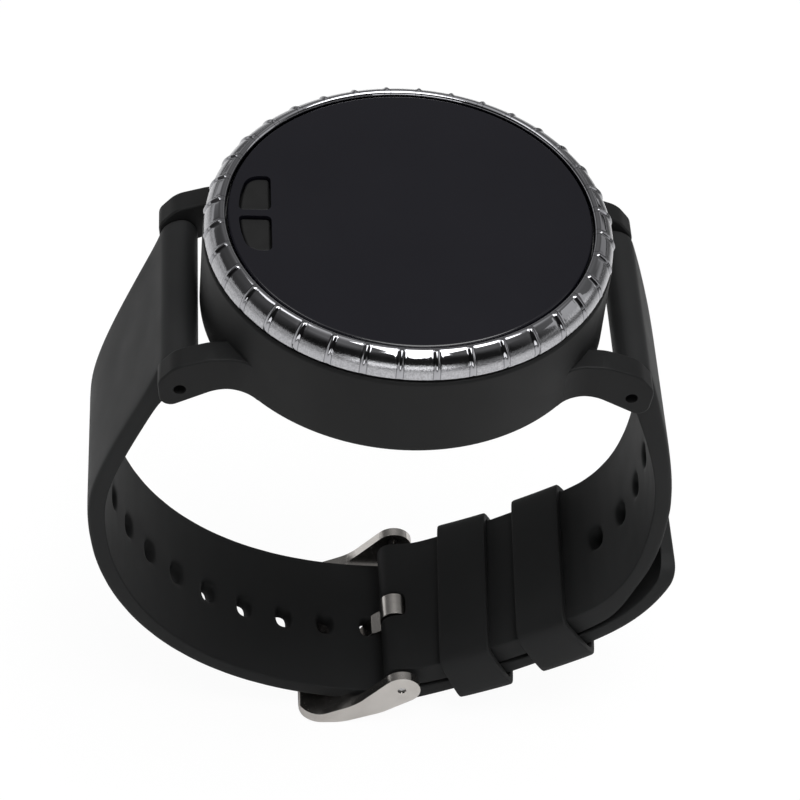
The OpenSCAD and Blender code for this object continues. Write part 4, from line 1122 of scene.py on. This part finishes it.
studio = {
    "floorShade": 0.26, "mirroredShade": 0.98, "mirroredDark": 0.08,
    "shadowShare": 0.2, "glossyShare": 0.1, "white": 1.2,
    # grey levels from straight down (0) over the horizon (0.5) to straight up (1)
    "sky": [(0.0, 0.7), (0.495, 0.62), (0.51, 0.04), (0.535, 0.04), (0.56, 0.42), (0.62, 0.4),
            (0.68, 0.16), (0.87, 0.23), (0.94, 0.7), (1.0, 0.9)],
    "leftSky": [(0.0, 0.4), (0.5, 0.4), (0.51, 0.7), (0.58, 0.75), (0.61, 0.06), (0.9, 0.1),
                (0.95, 0.4)],
    # place, target, size in metres and watts
    "lamps": {
        "topPanel": ((0.12, -0.12, 0.72), (0, 0, 0), (0.6, 0.4), 4.4),
        "cornerPanel": ((-0.38, 0.15, 0.7), (0, 0, 0), (0.25, 0.3), 0.5),
        "frontPanel": ((-0.05, -0.85, 0.2), (0, 0, -0.03), (0.8, 0.25), 1.0),
        "rightPanel": ((0.75, 0.05, 0.3), (0, 0, -0.02), (0.3, 0.5), 0.25),
    },
}


def makeFloor():
    startClean()
    bpy.ops.mesh.primitive_plane_add(size=6, location=(0, 0, cadBox[0][2]))
    floor = nameIt("studioFloor")
    bpy.ops.object.transform_apply(location=True, rotation=True, scale=True)
    material, tree, shader = newMaterial("paleFloor", {"Roughness": 0.9, "Specular IOR Level": 0.0})
    bright = tree.nodes.new("ShaderNodeEmission")
    bright.inputs["Strength"].default_value = studio["white"]
    path = tree.nodes.new("ShaderNodeLightPath")
    # mirrored in the metal, the floor is bright in front and on the left only
    spot = axes(tree, tree.nodes.new("ShaderNodeTexCoord").outputs["Object"])
    behind = mathNode(tree, "ADD", spot["Y"], mathNode(tree, "MULTIPLY", spot["X"], 0.9))
    mirror = ramp(tree, spread(tree, behind, 0.0, 1.0, 0.12, 0.4),
                  [(0.0, grey(studio["mirroredShade"])), (1.0, grey(studio["mirroredDark"]))])
    shade = mixColors(tree, path.outputs["Is Glossy Ray"], (*grey(studio["floorShade"]), 1), mirror)
    tree.links.new(shade, shader.inputs["Base Color"])
    direct = mathNode(tree, "MULTIPLY", path.outputs["Is Camera Ray"], 1 - studio["shadowShare"])
    mirrored = mathNode(tree, "MULTIPLY", path.outputs["Is Glossy Ray"], studio["glossyShare"])
    mixShaders(tree, mathNode(tree, "MAXIMUM", direct, mirrored), shader, bright, "Material Output")
    floor.data.materials.append(material)


def makeWorld():
    world = bpy.data.worlds.new("studioWorld")
    bpy.context.scene.world = world
    world.use_nodes = True
    tree = world.node_tree
    way = axes(tree, tree.nodes.new("ShaderNodeTexCoord").outputs["Generated"])
    height = spread(tree, way["Z"], 0.0, 1.0, -1.0, 1.0)
    sky, leftSky = (ramp(tree, height, [(at, grey(level)) for at, level in studio[key]])
                    for key in ("sky", "leftSky"))
    sides = mixColors(tree, spread(tree, way["X"], 1.0, 0.0, -0.85, -0.3), sky, leftSky)
    # the side behind the camera is dark above the horizon
    back = spread(tree, way["Y"], 1.0, 0.0, -0.5, 0.1)
    above = spread(tree, way["Z"], 0.0, 0.92, 0.12, 0.32)
    near = mathNode(tree, "SUBTRACT", 1.0, mathNode(tree, "MULTIPLY", back, above))
    background = tree.nodes["Background"]
    tree.links.new(mixColors(tree, 1.0, sides, near, "MULTIPLY"), background.inputs["Color"])
    # the camera itself sees plain white
    white = tree.nodes.new("ShaderNodeBackground")
    white.inputs["Color"].default_value = (1, 1, 1, 1)
    path = tree.nodes.new("ShaderNodeLightPath")
    mixShaders(tree, path.outputs["Is Camera Ray"], background, white, "World Output")


def makeLamp(name, place, target, size, watts):
    startClean()
    bpy.ops.object.light_add(type="AREA", location=place)
    lamp = bpy.context.object
    lamp.name = name
    lamp.data.shape = "RECTANGLE"
    lamp.data.size, lamp.data.size_y = size
    lamp.data.energy = watts
    lamp.rotation_euler = (Vector(target) - Vector(place)).to_track_quat("-Z", "Y").to_euler()


makeFloor()
makeWorld()
for name, lamp in studio["lamps"].items():
    makeLamp(name, *lamp)


# Camera, at the photograph's angle

shot = {"tall": 46.041, "around": -7.308, "roll": 6.408, "aside": 1.201, "up": 20.441, "far": 351.93,
        "lift": 15.8, "lens": 3179 * 36 / 800}


def makeCamera():
    tall, around, roll = (math.radians(shot[key]) for key in ("tall", "around", "roll"))
    flat = math.cos(tall)
    back = Vector((math.sin(around) * flat, -math.cos(around) * flat, math.sin(tall)))
    right = (-back).cross(Vector((0, 0, 1))).normalized()
    up = right.cross(-back)
    turnedRight = right * math.cos(roll) + up * math.sin(roll)
    turnedUp = up * math.cos(roll) - right * math.sin(roll)
    spot = -(shot["aside"] * turnedRight + shot["up"] * turnedUp - shot["far"] * back)
    spot.z += shot["lift"]
    place = Matrix((turnedRight, turnedUp, back)).transposed().to_4x4()
    place.translation = spot * mm
    startClean()
    bpy.ops.object.camera_add()
    camera = bpy.context.object
    camera.name = "photoCamera"
    camera.matrix_world = place
    camera.data.sensor_width = 36
    camera.data.lens = shot["lens"]
    camera.data.clip_start = 0.01
    bpy.context.scene.camera = camera


makeCamera()
bpy.context.scene.view_settings.view_transform = "Standard"
print("Studio ready")
